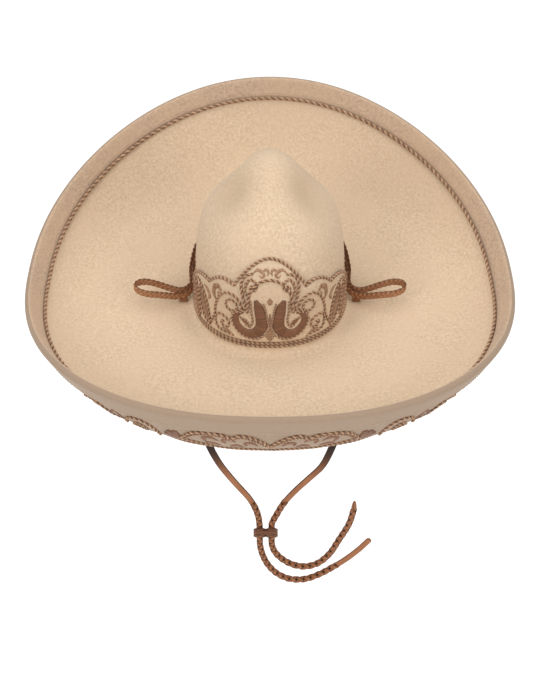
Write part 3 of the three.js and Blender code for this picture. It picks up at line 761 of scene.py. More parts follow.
def make_slider():
    work = Work()
    angle = np.linspace(0, 2 * math.pi, 40, endpoint=False)
    out = np.stack([np.cos(angle), np.sin(angle), 0 * angle], axis=1)
    for strand in (LEFT_STRAND, RIGHT_STRAND):
        for turn in range(WRAP_TURNS):
            path = np.array([strand, 0, 0]) + out * WRAP_RADIUS
            path[:, 2] = SLIDER_Z + (turn - (WRAP_TURNS - 1) / 2) * WRAP_PITCH - WRAP_TILT * np.sin(angle)
            tone = 0.15 + 0.75 * (turn % 2)
            add_tube(work, path, WRAP_LACE, WRAP_LACE * 0.92, out, sides=10, closed=True, tone=tone)
    for front in (1, -1):
        for rise in (1, -1):
            level = SLIDER_Z + front * WRAP_TILT
            path = spline([(SLIDER_X + x, y * front, level + rise * z) for x, y, z in CROSSING], 8)
            add_tube(work, path, 1.9, 1.7, np.array([[0.0, -front, 0.0]] * len(path)), sides=8, tone=0.5)
    return work.finish("wrapped_slider", slider_leather, "slider", "chin_slider", slot="strap_leather")


slider = make_slider()
for piece, path, length, end_piece, exit_x in (
    (strap_left, left_path, left_length, tongue, -ANCHOR_X),
    (strap_right, right_path, right_length, point, ANCHOR_X),
):
    [tuple(p) for p in even_steps(path, 12.0) * METRES]

# %% [markdown]
# ## The felt hood
# Crown and brim are blocked from one cone of felt, so they are made here as one skin:
# up the outside from the rim over the brim and the crown to its top, and back down
# the inside. Laying it out in rings round the hat keeps the flare at the crown's foot
# smooth, which a subdivided box would not.

# %% Hood
AROUND = 300
turns = np.linspace(0, 2 * math.pi, AROUND, endpoint=False)
BRIM_SHARES = np.concatenate([np.linspace(1, 0.6, 44), np.linspace(0.6, 0, 26)[1:-1]])
CROWN_CLIMBS = np.concatenate([np.linspace(0, 1, 9), np.linspace(1, 2, 9)[1:], np.linspace(2, 2.985, 44)[1:]])


def brim_rings(shares, lift):
    return np.stack([brim_point(turns, share, lift) for share in shares])


def crown_rings(climbs, lift):
    return np.stack([crown_point(turns, climb, lift) for climb in climbs])


def make_hood():
    work = Work()
    outside = np.concatenate([brim_rings(BRIM_SHARES, 0), crown_rings(CROWN_CLIMBS, 0)])
    inside = np.concatenate([brim_rings(BRIM_SHARES, -FELT), crown_rings(CROWN_CLIMBS, -FELT)])
    rings = np.concatenate([outside[::-1], inside])
    # The felt takes its shade colour in the four dents: painted shade in the hollows.
    painted_dent_shade = dent_depth(rings) / DENT_DEPTH
    work.skin(rings, poles=True, edge=np.clip(painted_dent_shade, 0, 1))
    return work.finish("felt_hood", hood_felt, "hat", "crown_felt", "brim_felt", slot="felt")


make_hood()

# %% [markdown]
# ## Under the brim and round its edge
# A second layer of felt is glued under the brim to stiffen it, and a strip of the same
# felt is folded round the rim and stitched through. The steel wire inside that fold
# holds the curl. The stitches are small raised lozenges, set in by a loop.

# %% Under felt and edge binding
GAP, UNDER_FELT, BINDING, BINDING_FLAP = 0.3, 2.0, 1.6, 17
UNDER_TOP = -FELT - GAP
UNDER_BOTTOM = UNDER_TOP - UNDER_FELT
EDGE_MIDDLE = UNDER_BOTTOM / 2
ROLL_CENTRE_OUT = 3.6
UPPER_ROLL_RINGS = 4
INNER_ROLL = GAP - EDGE_MIDDLE
OUTER_ROLL = INNER_ROLL + BINDING


def make_under_felt():
    work = Work()
    shares = np.concatenate([np.linspace(0.012, 0.6, 24), np.linspace(0.6, 1, 40)[1:]])
    rings = np.concatenate([brim_rings(shares, UNDER_TOP), brim_rings(shares[::-1], UNDER_BOTTOM)])
    work.skin(rings, join_rings=True)
    return work.finish("under_brim_layer", under_felt, "hat", "under_brim_felt", slot="under_felt")


def flap_rings(lift, insets):
    return [brim_point(turns, share_in_from_rim(turns, inset), lift) for inset in insets]


def roll_rings(radius, angles):
    return [brim_point(turns, 1.0, EDGE_MIDDLE + radius * math.sin(a), ROLL_CENTRE_OUT + radius * math.cos(a))
            for a in np.radians(angles)]


def make_binding():
    work = Work()
    insets = [BINDING_FLAP, BINDING_FLAP - 0.9, 13, 9, 5, 2, 0]
    thin = 0.75
    upper, lower = EDGE_MIDDLE + OUTER_ROLL, EDGE_MIDDLE - OUTER_ROLL
    top = flap_rings(upper - thin, insets[:1]) + flap_rings(upper, insets[1:])
    under = flap_rings(lower, insets[:0:-1]) + flap_rings(lower + thin, insets[:1])
    rings = top + roll_rings(OUTER_ROLL, range(84, -85, -14)) + under
    rings += flap_rings(EDGE_MIDDLE - INNER_ROLL, insets) + roll_rings(INNER_ROLL, range(-70, 71, 20))
    rings += flap_rings(EDGE_MIDDLE + INNER_ROLL, insets[::-1])
    # From just past the top of its roll, the outer side of the binding takes the felt's shade colour: painted
    # shade.
    painted_shade_outer_side = np.zeros(len(rings))
    painted_shade_outer_side[len(top) + UPPER_ROLL_RINGS :] = 1.0
    work.skin(np.stack(rings), join_rings=True, edge=painted_shade_outer_side[:, None])
    return work.finish("brim_binding", binding_felt, "hat", "edge_binding", slot="under_felt")


make_under_felt()
make_binding()


def add_stitch(work, start, end, outward, radius, tone):
    """One raised stitch, a lozenge from start to end that bows away from the felt."""
    share = np.array([0, 0.18, 0.5, 0.82, 1])[:, None]
    swell = np.array([0.35, 0.85, 1, 0.85, 0.35])
    path = start + (end - start) * share + outward * (radius * 0.7) * np.sin(math.pi * share)
    facing = np.repeat(outward[None, :], len(path), axis=0)
    add_tube(work, path, radius, radius * 0.8, facing, sides=6, taper=swell, tone=tone)


def make_binding_stitches():
    work = Work()
    pitch = 4.2
    seams = ((EDGE_MIDDLE - OUTER_ROLL, BINDING_FLAP - 2.4, -1), (EDGE_MIDDLE + OUTER_ROLL, 12.6, 1))
    for lift, inset, sign in seams:
        fine = np.linspace(0, 2 * math.pi, 1200)
        share = share_in_from_rim(fine, inset)
        higher = brim_point(fine, share, lift + sign)
        line, above = even_steps(brim_point(fine, share, lift), pitch / 2, higher)
        outward = unit(above - line)
        for i in range(0, len(line) - 1, 2):
            end = line[i] + (line[i + 1] - line[i]) * 1.35
            add_stitch(work, line[i], end, outward[i], 0.42, tone=0.35 + 0.3 * (i % 3) / 2)
    return work.finish("binding_stitches", binding_felt, "hat", slot="under_felt")


make_binding_stitches()

# %% [markdown]
# ## Twisted cord
# The cord round the brim and the edges of the hatband are two plies twisted together.
# A bump texture on a plain tube looks right only head on; at the outline of the hat it
# gives itself away. So both plies are modelled: each is a thin tube whose middle
# circles the cord's line once in every twist.

# %% Twisted cord
def add_twist(work, path, outward, radius, pitch, sides=6, step=0.9, closed=False, tone=(0.25, 0.75)):
    """Plies twisted about a line; outward is the direction away from the felt."""
    plies = 2
    source = np.vstack([path, path[:1]]) if closed else path
    lifted = np.vstack([outward, outward[:1]]) if closed else outward
    along = travelled(source)
    total = along[-1]
    twists = max(1, round(total / pitch))
    count = max(6, int(total / step))
    places = np.linspace(0, total, count, endpoint=not closed)
    line = at_places(places, along, source)
    up = at_places(places, along, lifted)
    forward = directions(line, closed)
    up = square_to(up, forward)
    side = np.cross(forward, up)
    for ply in range(plies):
        angle = 2 * math.pi * (twists * places / total + ply / plies)
        out = up * np.cos(angle)[:, None] + side * np.sin(angle)[:, None]
        middle = line + out * radius * 0.48
        shade = tone[0] + (tone[1] - tone[0]) * ply / max(plies - 1, 1)
        add_tube(work, middle, radius * 0.56, radius * 0.54, out, sides=sides, closed=closed, tone=shade)


def round_the_hat(point_at, count=1440):
    """A closed line round the hat and the direction away from its surface."""
    fine = np.linspace(0, 2 * math.pi, count, endpoint=False)
    line = point_at(fine, 0.0)
    return line, unit(point_at(fine, 1.0) - line)


RIM_CORD_RADIUS, BAND_CORD_RADIUS = 2.2, 1.7


def make_rim_cord():
    inset = BINDING_FLAP + RIM_CORD_RADIUS + 2 * GAP
    line, up = round_the_hat(
        lambda turn, more: brim_point(turn, share_in_from_rim(turn, inset), RIM_CORD_RADIUS + GAP + more))
    work = Work()
    add_twist(work, line, up, RIM_CORD_RADIUS, 8.5, sides=7, step=0.85, closed=True)
    return work.finish("rim_twist", cord_thread, "hat", "rim_cord", slot="embroidery")


make_rim_cord()

# %% [markdown]
# ## The hatband
# Two scalloped panels of felt are sewn round the crown, one in front and one behind.
# The one behind is an assumption, made like the one in front.
# Each is laid out as stations round the crown, from the foot up to a scalloped top
# whose height comes from a few lobes. The edge is rounded over, and a twisted cord is
# sewn along the top and two more round the foot.

# %% Hatband panels
PANEL_GAP, PANEL = 0.5, 2.3
FOOT_CORD_LOW, FOOT_CORD_HIGH, PANEL_FOOT = 4.2, 8.4, 11
FOOT_RISE, FOOT_POWER = 8.8, 0.7
FRONT_END, BACK_START, BACK_END = 80, 102, 180
FRONT_LOBES = [(-22.5, 22.5, 90, 90, 33), (22.5, 43.3, 90, 80.7, 8), (43.3, FRONT_END, 80.7, 45, 12)]
BACK_LOBES = [(-22.5, 22.5, 80, 80, 28), (22.5, 43.3, 80, 72, 8), (43.3, BACK_END - BACK_START, 72, 42, 10)]
BAND_FACE = PANEL_GAP + PANEL


def scallop_top(lobes, away):
    away = np.abs(np.asarray(away, float))
    top = np.zeros(away.shape)
    for start, end, low_start, low_end, rise in lobes[::-1]:
        place = np.clip((away - start) / (end - start), 0, 1)
        lobe = low_start + (low_end - low_start) * place + rise * np.sin(math.pi * place) ** 0.8
        top = np.where(away <= end, lobe, top)
    return top


def foot_height(side, turn):
    """The foot of the band stands higher at the front and the back than at the sides."""
    return side + FOOT_RISE * np.abs(np.cos(turn)) ** FOOT_POWER


def band_point(turn_degrees, height, lift):
    return crown_point(np.radians(turn_degrees), climb_at(height), lift)


def make_panel(name, middle, reach, lobes, node):
    work = Work()
    away = np.linspace(-reach, reach, 4 * int(reach))
    top = climb_at(scallop_top(lobes, away))
    foot = climb_at(foot_height(PANEL_FOOT, np.radians(middle + away)))
    shares = np.linspace(0, 1, 26)
    rows = []
    for share in shares:
        rows.append((foot + share * (top - foot), BAND_FACE))
    crest = [(0.002, BAND_FACE - 0.45), (0.003, (BAND_FACE + PANEL_GAP) / 2), (0.002, PANEL_GAP + 0.3)]
    for extra, lift in crest:
        rows.append((top + extra, lift))
    for share in shares[::-1]:
        rows.append((foot + share * (top - foot), PANEL_GAP))
    turn = np.radians(middle + away)
    section = np.stack([crown_point(turn, climb, lift) for climb, lift in rows], axis=1)
    work.skin(section)
    return work.finish(name, hood_felt, "hat", node, slot="felt")


def top_line(middle, reach, lobes, lift):
    away = np.linspace(-reach, reach, 700)
    height = scallop_top(lobes, away) + 0.3
    return band_point(middle + away, height, lift), band_point(middle + away, height, lift + 1)


def make_top_cord(name, middle, reach, lobes, node):
    lift = BAND_FACE - 0.2
    line, above = top_line(middle, reach, lobes, lift)
    work = Work()
    add_twist(work, line, unit(above - line), BAND_CORD_RADIUS * 1.2, 5.4, sides=7, step=0.65)
    return work.finish(name, cord_thread, "hat", node, slot="embroidery")


def make_foot_cord(name, height, node):
    lift = BAND_CORD_RADIUS + GAP
    line, up = round_the_hat(
        lambda turn, more: crown_point(turn, climb_at(foot_height(height, turn)), lift + more)
    )
    work = Work()
    add_twist(work, line, up, BAND_CORD_RADIUS * 1.16, 5.6, sides=7, step=0.65, closed=True)
    return work.finish(name, cord_thread, "hat", node, slot="embroidery")


BACK_REACH = BACK_END - BACK_START
make_panel("front_band", 0, FRONT_END, FRONT_LOBES, "band_front_panel")
make_panel("back_band", 180, BACK_REACH, BACK_LOBES, "band_back_panel")
make_top_cord("front_band_edge", 0, FRONT_END, FRONT_LOBES, "band_front_edge_cord")
make_top_cord("back_band_edge", 180, BACK_REACH - 0.5, BACK_LOBES, "band_back_edge_cord")
make_foot_cord("foot_twist_upper", FOOT_CORD_HIGH, "band_foot_cord_upper")
make_foot_cord("foot_twist_lower", FOOT_CORD_LOW, "band_foot_cord_lower")

# %% [markdown]
# ## Needlework
# A needleworker draws the pattern flat and then sews it on: lines in twisted cord, and
# leaves in satin stitch, where threads lie side by side across the shape. The pattern
# is drawn here in the same way, on flat ground in millimetres, and a ground function
# lays it on the crown or under the brim. A drawing needs only its few turning points.
# The layout is a simplified copy of the real hat's, not a pattern of its own.
# One half is drawn, and the other half is its mirror image.

# %% Grounds to sew on
BAND_ARC = 1.8
RIM_ARC = 5.0
CORD_SWELL = 1.45


def band_ground(middle):
    """Flat x and y become the way round the crown and the height on it."""
    def place(flat, lift):
        return band_point(middle + flat[..., 0] / BAND_ARC, flat[..., 1], BAND_FACE + lift)
    return place


def border_ground(middle):
    """Flat x and y become the way round the rim and the distance in from it, below."""
    def place(flat, lift):
        turn = np.radians(middle + flat[..., 0] / RIM_ARC)
        return brim_point(turn, share_in_from_rim(turn, flat[..., 1]), UNDER_BOTTOM - lift)
    return place


def sew_cord(work, ground, drawing, radius, closed=False, sides=6):
    flat = spline(drawing, 12, closed)
    path = ground(flat, radius * 0.6)
    up = unit(ground(flat, radius * 0.6 + 1) - path)
    thick = radius * CORD_SWELL
    step = max(0.55, thick * 0.45)
    # The pale ply, with tone up to 0.95, is a painted highlight along the twist; the dark ply is the thread's
    # own colour.
    add_twist(work, path, up, thick, thick * 3.4, sides, step, closed, tone=(0.25, 0.95))


THREAD_PITCH = 0.95


def sew_satin(work, ground, drawing, widths, height=1.3, tone=0.5):
    """A leaf of side-by-side threads: a spine and its width at each drawn point."""
    drawn = np.column_stack([np.asarray(drawing, float), widths])
    flat = spline(drawn[:, :2], 12)
    along = travelled(flat)
    nodes = along[np.arange(len(drawn)) * 12]
    count = max(8, int(along[-1] / (THREAD_PITCH / 3)))
    places = np.linspace(0, along[-1], count)
    spine = at_places(places, along, flat)
    half = np.maximum(np.interp(places, nodes, drawn[:, 2]) / 2, 0.3)
    forward = directions(spine)
    side = np.stack([-forward[:, 1], forward[:, 0]], axis=1)
    ridge = 0.13 * np.cos(2 * math.pi * places / THREAD_PITCH)
    across = np.linspace(-1, 1, 9)
    crown = np.sqrt(np.maximum(1 - across**2, 0.0))
    full = np.minimum(1, half / 2.2)
    rings = [ground(spine + side * (half * a)[:, None], (height * c * full + ridge * (c > 0.1)))
             for a, c in zip(across, crown)]
    rings += [ground(spine + side * (half * a)[:, None], -0.4) for a in (0.95, 0.0, -0.95)]
    threads = np.random.default_rng(3).uniform(-0.3, 0.3, count)[:, None]
    work.skin(np.stack(rings, axis=1), tone=tone + threads * np.ones((1, len(rings))))


def both_ways(points, sign):
    return [(x * sign, y) for x, y in points]


# %% [markdown]
# The front of the band has an arch over a leaf bud, with a thick paisley on each side
# of it. Beyond them come a ring in the bend of a vine, a spiral, and leaves at the
# side. Drawn from the middle outwards, in millimetres along the band and up it.

# %% The drawing for the band
ARCH = [(-25, 60), (-24, 72), (-22, 86), (-13, 97.5), (0, 101.7), (13, 97.5), (22, 86), (24, 72), (25, 60)]
ARCH_FOOT = [(24, 70), (28, 63.5), (35, 60), (38, 56)]
OUTER_VINE = [(27, 68), (30, 82), (32, 95), (27, 104.5), (19, 107.5)]
OUTER_SPIRAL = [
    (26, 82), (27.5, 93), (23, 100.5), (16.5, 99), (14.5, 92.5), (18.5, 88.5), (22, 91.5), (19.5, 94.5),
]
FLOURISH = [(19, 108), (14, 111.8), (9, 110), (6.5, 106.5), (9.5, 104), (12, 106.5)]
FLOURISH_TIP = [(8, 110.5), (4, 112.5), (1.6, 109.5), (3, 106)]
PAISLEY = [
    (15.5, 77.5), (12.8, 70), (11, 61), (9.2, 50), (9.8, 40), (15.5, 32.5), (23, 30.5), (31, 33.5), (37, 41),
    (38.3, 49), (35, 56), (29, 58.5),
]
PAISLEY_WIDTHS = [4, 10, 12, 13, 14, 13.5, 12, 11, 9.5, 7.5, 5, 1.5]
PAISLEY_RIM = [(21, 76), (20.3, 62), (19, 48.5), (22, 41), (27, 42.5)]
PAISLEY_OUTLINE = [(6, 30), (14, 24.2), (24, 24.5), (34, 30), (41, 39), (43, 49), (38, 57.5), (30, 59.5)]
PAISLEY_LEAF = [(33, 50.5), (28, 46.5), (23.5, 40.5)]
RING = [(43.7 + 7.2 * math.cos(a), 65 + 7.2 * math.sin(a)) for a in np.linspace(0, 2 * math.pi, 9)[:-1]]
RING_VINE = [(75, 27), (68, 42), (66, 56), (60, 71), (51, 79), (42, 79.5), (34, 73.5), (31, 64)]
COMMA = [(66, 63), (69, 71), (67.5, 79), (62, 82.5), (57, 78.5)]
COMMA_SMALL = [(60.5, 68), (61, 74), (57.5, 74.5)]
LOW_SPIRAL = [
    (67, 33), (65, 43), (58.5, 47), (50, 44.5), (46.8, 38), (50, 32), (56, 32.5), (57.5, 37.5), (53.5, 38.5),
]
LOW_TAIL = [(66.5, 35), (64, 27), (56, 24), (48, 24.5), (41, 22.5)]
SIDE_LEAF = [(77, 25), (87, 36), (93, 50), (97, 66)]
SIDE_LEAF_RIM = [(76, 24), (80, 44), (86, 58), (97, 68), (102, 52), (97, 36), (86, 24), (76, 22)]
END_LEAF = [(106, 18), (117, 31), (121, 44), (116, 57)]
END_LEAF_RIM = [(100, 22), (108, 42), (112, 60), (123, 57), (127.5, 42), (120, 26), (104, 16)]
END_CURL = [(89, 71), (81, 69), (77, 62), (80, 56)]
END_FRAME = [(99, 70), (109, 68.5), (119, 63), (128, 53), (133, 40), (134, 24)]
BUD = [(0, 81), (0, 76.5), (0, 72)]
BUD_HEART = [(0, 60), (0, 52), (0, 43)]
BUD_SIDE = [(0.8, 39), (2.6, 50), (4.2, 62), (6.8, 74)]
BUD_DROP = [(0, 38.5), (0, 31), (0, 22.5)]


def sew_arch(place, ground):
    work = Work()
    sew_cord(work, ground, ARCH, 1.35)
    for sign in (1, -1):
        sew_cord(work, ground, both_ways(ARCH_FOOT, sign), 1.25)
        sew_cord(work, ground, both_ways(OUTER_VINE, sign), 1.3)
        sew_cord(work, ground, both_ways(OUTER_SPIRAL, sign), 1.05)
        sew_satin(work, ground, both_ways(FLOURISH, sign), [1, 3.4, 4, 3, 2.2, 1.2], tone=0.55)
        sew_satin(work, ground, both_ways(FLOURISH_TIP, sign), [1.5, 3.2, 2.6, 1], tone=0.55)
        sew_satin(work, ground, both_ways([(27, 86), (25, 96), (20, 103)], sign), [1, 2.6, 1], tone=0.45)
    name = f"{place}_arch_needlework"
    return work.finish(name, fine_thread, "hat", f"band_{place}_arch", slot="embroidery")


def sew_bud(place, ground):
    work = Work()
    sew_satin(work, ground, BUD, [1, 7, 2], tone=0.5)
    sew_satin(work, ground, BUD_HEART, [1.2, 3.4, 1], tone=0.4)
    sew_satin(work, ground, BUD_DROP, [1, 5.8, 0.8], tone=0.5)
    for sign in (1, -1):
        sew_cord(work, ground, both_ways(BUD_SIDE, sign), 0.85)
        sew_cord(work, ground, both_ways([(0.4, 39), (4.4, 31), (0.4, 21.5)], sign), 0.75)
    return work.finish(f"{place}_bud_needlework", fine_thread, "hat", f"band_{place}_bud", slot="embroidery")


def sew_paisley(place, side, sign, ground):
    work = Work()
    sew_satin(work, ground, both_ways(PAISLEY, sign), PAISLEY_WIDTHS, height=2.0, tone=0.4)
    sew_satin(work, ground, both_ways(PAISLEY_LEAF, sign), [1, 4.6, 1], height=1.2, tone=0.6)
    name = f"{place}_paisley_{side}"
    work.finish(name, satin_thread, "hat", f"band_{name}", slot="embroidery")
    outline = Work()
    sew_cord(outline, ground, both_ways(PAISLEY_RIM, sign), 0.95)
    sew_cord(outline, ground, both_ways(PAISLEY_OUTLINE, sign), 1.0)
    sew_cord(outline, ground, both_ways([(35.5, 52), (26, 49), (21.5, 38.5)], sign), 0.7)
    outline.finish(f"{place}_paisley_outline_{side}", fine_thread, "hat", slot="embroidery")


def sew_scrolls(place, side, sign, ground):
    work = Work()
    sew_cord(work, ground, both_ways(RING, sign), 1.05, closed=True)
    sew_cord(work, ground, both_ways(RING_VINE, sign), 1.2)
    sew_satin(work, ground, both_ways(COMMA, sign), [1.6, 5.6, 6.4, 5.6, 3], tone=0.45)
    sew_satin(work, ground, both_ways(COMMA_SMALL, sign), [1.4, 4.4, 3.4], tone=0.55)
    sew_cord(work, ground, both_ways(LOW_SPIRAL, sign), 1.15)
    sew_cord(work, ground, both_ways(LOW_TAIL, sign), 1.1)
    sew_satin(work, ground, both_ways([(58, 27), (50, 27.5), (42, 24)], sign), [1, 4.4, 1], tone=0.5)
    sew_satin(work, ground, both_ways([(46, 44), (42, 50), (44, 56)], sign), [1, 3.4, 1], tone=0.5)
    name = f"{place}_scroll_{side}"
    return work.finish(name, fine_thread, "hat", f"band_{name}", slot="embroidery")


def sew_leaves(place, side, sign, ground):
    work = Work()
    sew_satin(work, ground, both_ways(SIDE_LEAF, sign), [2, 12, 11, 2], height=1.8, tone=0.4)
    sew_cord(work, ground, both_ways(SIDE_LEAF_RIM, sign), 1.15)
    sew_satin(work, ground, both_ways(END_LEAF, sign), [2, 12, 10, 2], height=1.8, tone=0.4)
    sew_cord(work, ground, both_ways(END_LEAF_RIM, sign), 1.1)
    sew_satin(work, ground, both_ways(END_CURL, sign), [1.6, 5, 5.4, 2], tone=0.5)
    sew_cord(work, ground, both_ways(END_FRAME, sign), 1.1)
    name = f"{place}_leaf_{side}"
    return work.finish(name, fine_thread, "hat", f"band_{name}", slot="embroidery")


for place, middle in (("front", 0), ("back", 180)):
    ground = band_ground(middle)
    sew_arch(place, ground)
    sew_bud(place, ground)
    for side, sign in (("right", 1), ("left", -1)):
        sew_paisley(place, side, sign, ground)
        sew_scrolls(place, side, sign, ground)
        sew_leaves(place, side, sign, ground)

# %% [markdown]
# ## The border under the brim
# The outer wall of the brim carries a band of scrollwork that repeats five times round
# the hat: a row of cord lobes meeting in a valley, hooks inside them, a three-petalled
# leaf where they end, and a spiral lobe that leads to the next repeat. The same sewing
# functions work on a different ground.

# %% The drawing for one half of a repeat, which is 180 long
REPEATS = 5
LOBES = [(0, 46), (9, 34), (21, 25), (33, 22), (42, 27), (52, 22), (68, 20), (86, 25), (100, 41)]
LOBES_INNER = [(0, 51), (11, 39), (22, 30), (33, 27), (42, 32), (53, 27), (68, 25), (84, 30), (96, 42)]
LOWER_LINE = [(0, 62), (16, 56), (34, 55), (52, 57), (68, 52), (84, 47), (101, 43)]
FOOT_LINE = [(0, 66), (30, 62), (60, 64), (96, 60), (128, 63), (156, 60), (180, 64)]
HOOKS = [
    [(14, 46), (20, 39), (27, 40), (27, 46)],
    [(38, 37), (45, 33), (52, 36), (50, 42)],
    [(58, 37), (66, 31), (74, 34), (72, 41)],
    [(30, 50), (37, 46), (44, 49)],
    [(56, 49), (64, 45), (72, 45)],
]
HOOK_WIDTHS = [2, 5.6, 5.2, 2.6]
PETALS = [
    [(101, 43), (104, 35), (105, 28)],
    [(102, 43.5), (109, 36), (114, 31)],
    [(103, 45), (112, 41), (119, 38)],
]
SPIRAL_LOBE = [(133, 60), (128, 48), (131, 33), (142, 23), (156, 24), (167, 36), (170, 46)]
SPIRAL_EYE = [(165, 50), (155, 54), (144, 49), (143, 39), (151, 34), (158, 40), (152, 45)]
GATE_LEAF = [(170, 46), (174, 34), (180, 24)]
GATE_LINE = [(170, 47), (176, 52), (180, 59)]
BORDER_CORDS = [
    (LOBES, 1.35), (LOBES_INNER, 0.8), (LOWER_LINE, 1.05), (FOOT_LINE, 1.05), (SPIRAL_LOBE, 1.25),
    (SPIRAL_EYE, 0.95), (GATE_LINE, 1.0),
]


def sew_border():
    work = Work()
    for repeat in range(REPEATS):
        ground = border_ground(repeat * 360 / REPEATS)
        for sign in (1, -1):
            for drawing, radius in BORDER_CORDS:
                sew_cord(work, ground, both_ways(drawing, sign), radius, sides=5)
    return work.finish("border_cords", fine_thread, "hat", "under_brim_embroidery", slot="embroidery")


def sew_border_leaves():
    work = Work()
    for repeat in range(REPEATS):
        ground = border_ground(repeat * 360 / REPEATS)
        for sign in (1, -1):
            for hook in HOOKS:
                widths = HOOK_WIDTHS[: len(hook)]
                sew_satin(work, ground, both_ways(hook, sign), widths, height=1.1, tone=0.5)
            for petal in PETALS:
                sew_satin(work, ground, both_ways(petal, sign), [2.5, 8, 6.5], height=1.8, tone=0.35)
            sew_satin(work, ground, both_ways(GATE_LEAF, sign), [1, 5, 1], height=1.3, tone=0.4)
    return work.finish("border_leaves", satin_thread, "hat", slot="embroidery")


sew_border()
sew_border_leaves()

# %% [markdown]
# ## Side loops and the strap behind the crown
# A flat braid lies double behind the crown. At each side its two plies part and stand
# on edge as a loop, over the slot where the end of the chin strap comes up. Three laces
# make a flat braid: each one swings from side to side and passes over and under twice
# in a cycle.

# %% Flat braid
def add_flat_braid(work, path, wide, width, thickness, pitch, lace_width, tone=0.4):
    along = travelled(path)
    places = np.arange(0, along[-1], 0.75)
    line = at_places(places, along, path)
    across = at_places(places, along, wide)
    forward = directions(line)
    across = square_to(across, forward)
    out = np.cross(forward, across)
    lace_thickness = thickness * 0.52
    swing = (width - lace_width) / 2
    for lace in range(3):
        turn = 2 * math.pi * (places / pitch + lace / 3)
        middle = line + across * (swing * np.sin(turn))[:, None]
        middle = middle + out * ((thickness - lace_thickness) / 2 * np.sin(2 * turn))[:, None]
        add_lace(work, middle, out, tone + 0.12 * lace, lace_width, lace_thickness)


# %% Side loops
STUB_BOTTOM = -10.7
PLY_WIDTH, PLY_THICKNESS, PLY_PITCH, PLY_LACE = 9.8, 3.8, 17.5, 4.9
LOOP_ROUTE = [
    (93.2, 13.5, 15), (94.6, 8, 14.2), (97.4, 3.2, 12.4), (101.5, 0, 10.6), (107, -2.2, 10), (112, -4, 10.5),
    (118, -6, 12), (135, -10.5, 17), (150, -12, 20), (160, -8, 22), (163.5, 0, 22.5), (160, 8, 22),
    (150, 12, 20.5), (135, 10.3, 17.5), (121, 8, 13.5), (111, 6.8, 11.5), (104, 8.5, 11.4),
    (99.8, 11.5, 12.6), (96.8, 14.6, 14.6),
]
STUB_ROUTE = [(105, 0, STUB_BOTTOM), (105, 0, -4), (105, -0.2, 1), (105.2, -0.8, 6.5)]
UPRIGHT = np.array([0, 0, 1.0])


def mirrored(points, sign):
    return np.asarray(points, float) * np.array([sign, 1, 1])


def make_loop(side, sign):
    work = Work()
    path = even_steps(spline(mirrored(LOOP_ROUTE, sign)), 1.0)
    wide = np.broadcast_to(UPRIGHT, path.shape)
    add_flat_braid(work, path, wide, PLY_WIDTH, PLY_THICKNESS, PLY_PITCH, PLY_LACE)
    stub = even_steps(spline(mirrored(STUB_ROUTE, sign)), 1.0)
    columns = []
    for flip in (1, -1):
        for angle in np.radians([-90, -45, 0, 45, 90]):
            reach = flip * (3.6 + 1.1 * np.cos(angle))
            columns.append(stub + np.array([reach, 1.3 * math.sin(angle) * flip, 0]))
    # The stub is dark (tone 0.2, edge 0.5): painted shade, so that it reads as the shadow under the loop.
    work.skin(np.stack(columns, axis=1), tone=0.2, edge=0.5)
    return work.finish(f"braided_loop_{side}", loop_leather, "hat", f"side_loop_{side}", slot="strap_leather")


make_loop("right", 1)
make_loop("left", -1)

# %% Strap behind the crown
BACK_STRAP_START = 99
BACK_STRAP_LOW, BACK_STRAP_HIGH, BACK_STRAP_CLIMB_TURN = 15, 45, 27
BACK_STRAP_LIFT, NEEDLEWORK_LIFT, NEEDLEWORK_TURN = 4.3, 3.1, 11


def make_back_strap():
    work = Work()
    away = np.linspace(BACK_STRAP_START, 360 - BACK_STRAP_START, 500)
    from_end = np.minimum(away, 360 - away) - BACK_STRAP_START
    height = BACK_STRAP_LOW + (BACK_STRAP_HIGH - BACK_STRAP_LOW) * eased(from_end / BACK_STRAP_CLIMB_TURN)
    over = NEEDLEWORK_LIFT * eased((from_end - 2) / (NEEDLEWORK_TURN - 2))
    for ply in range(2):
        lift = BACK_STRAP_LIFT + over + PLY_THICKNESS * (ply + 0.48)
        path = band_point(away, height, lift)
        wide = unit(band_point(away, height + 1, lift) - path)
        path, wide = even_steps(path, 1.0, wide)
        add_flat_braid(work, path, wide, PLY_WIDTH, PLY_THICKNESS, PLY_PITCH, PLY_LACE)
    return work.finish("braided_back_strap", loop_leather, "hat", "back_strap", slot="strap_leather")


make_back_strap()

# %% [markdown]
# ## Worked slots
# A slot in felt is worked round with close buttonhole stitches, above and below, so
# that the strap can't tear it. They are the same raised stitches as on the binding,
# laid across an oval.

# %% Slot stitches
def make_slot_stitches():
    work = Work()
    foot = CROWN_HALF_WIDTH + FLARE_RADIUS
    angle = np.linspace(0, 2 * math.pi, 30, endpoint=False)
    for sign in (1, -1):
        for level, up in ((0.15, 1), (UNDER_BOTTOM - 0.15, -1)):
            ovals = []
            for long, short in ((6.3, 2.3), (8.4, 4.4)):
                across = sign * ANCHOR_X + long * np.cos(angle)
                rise = brim_rise(math.pi / 2, (np.abs(across) - foot) / (RIM_HALF_WIDTH - foot))
                ovals.append(np.stack([across, short * np.sin(angle), level + rise], axis=1))
            for number, (start, end) in enumerate(zip(*ovals)):
                add_stitch(work, start, end, np.array([0.0, 0.0, up]), 0.4, tone=0.3 + 0.3 * (number % 2))
    return work.finish("slot_stitches", hood_felt, "hat", slot="felt")


make_slot_stitches()

# %% [markdown]
# ## Inside the crown
# A satin lining hangs in the dome, and a leather sweatband runs round the opening with
# a reed along its lower edge and a small bow over its seam at the back. All of this
# shows only from below, and is made as such hats usually are: the real one is unknown.

# %% Lining
LINING_GAP, LINING = 1.8, 0.8


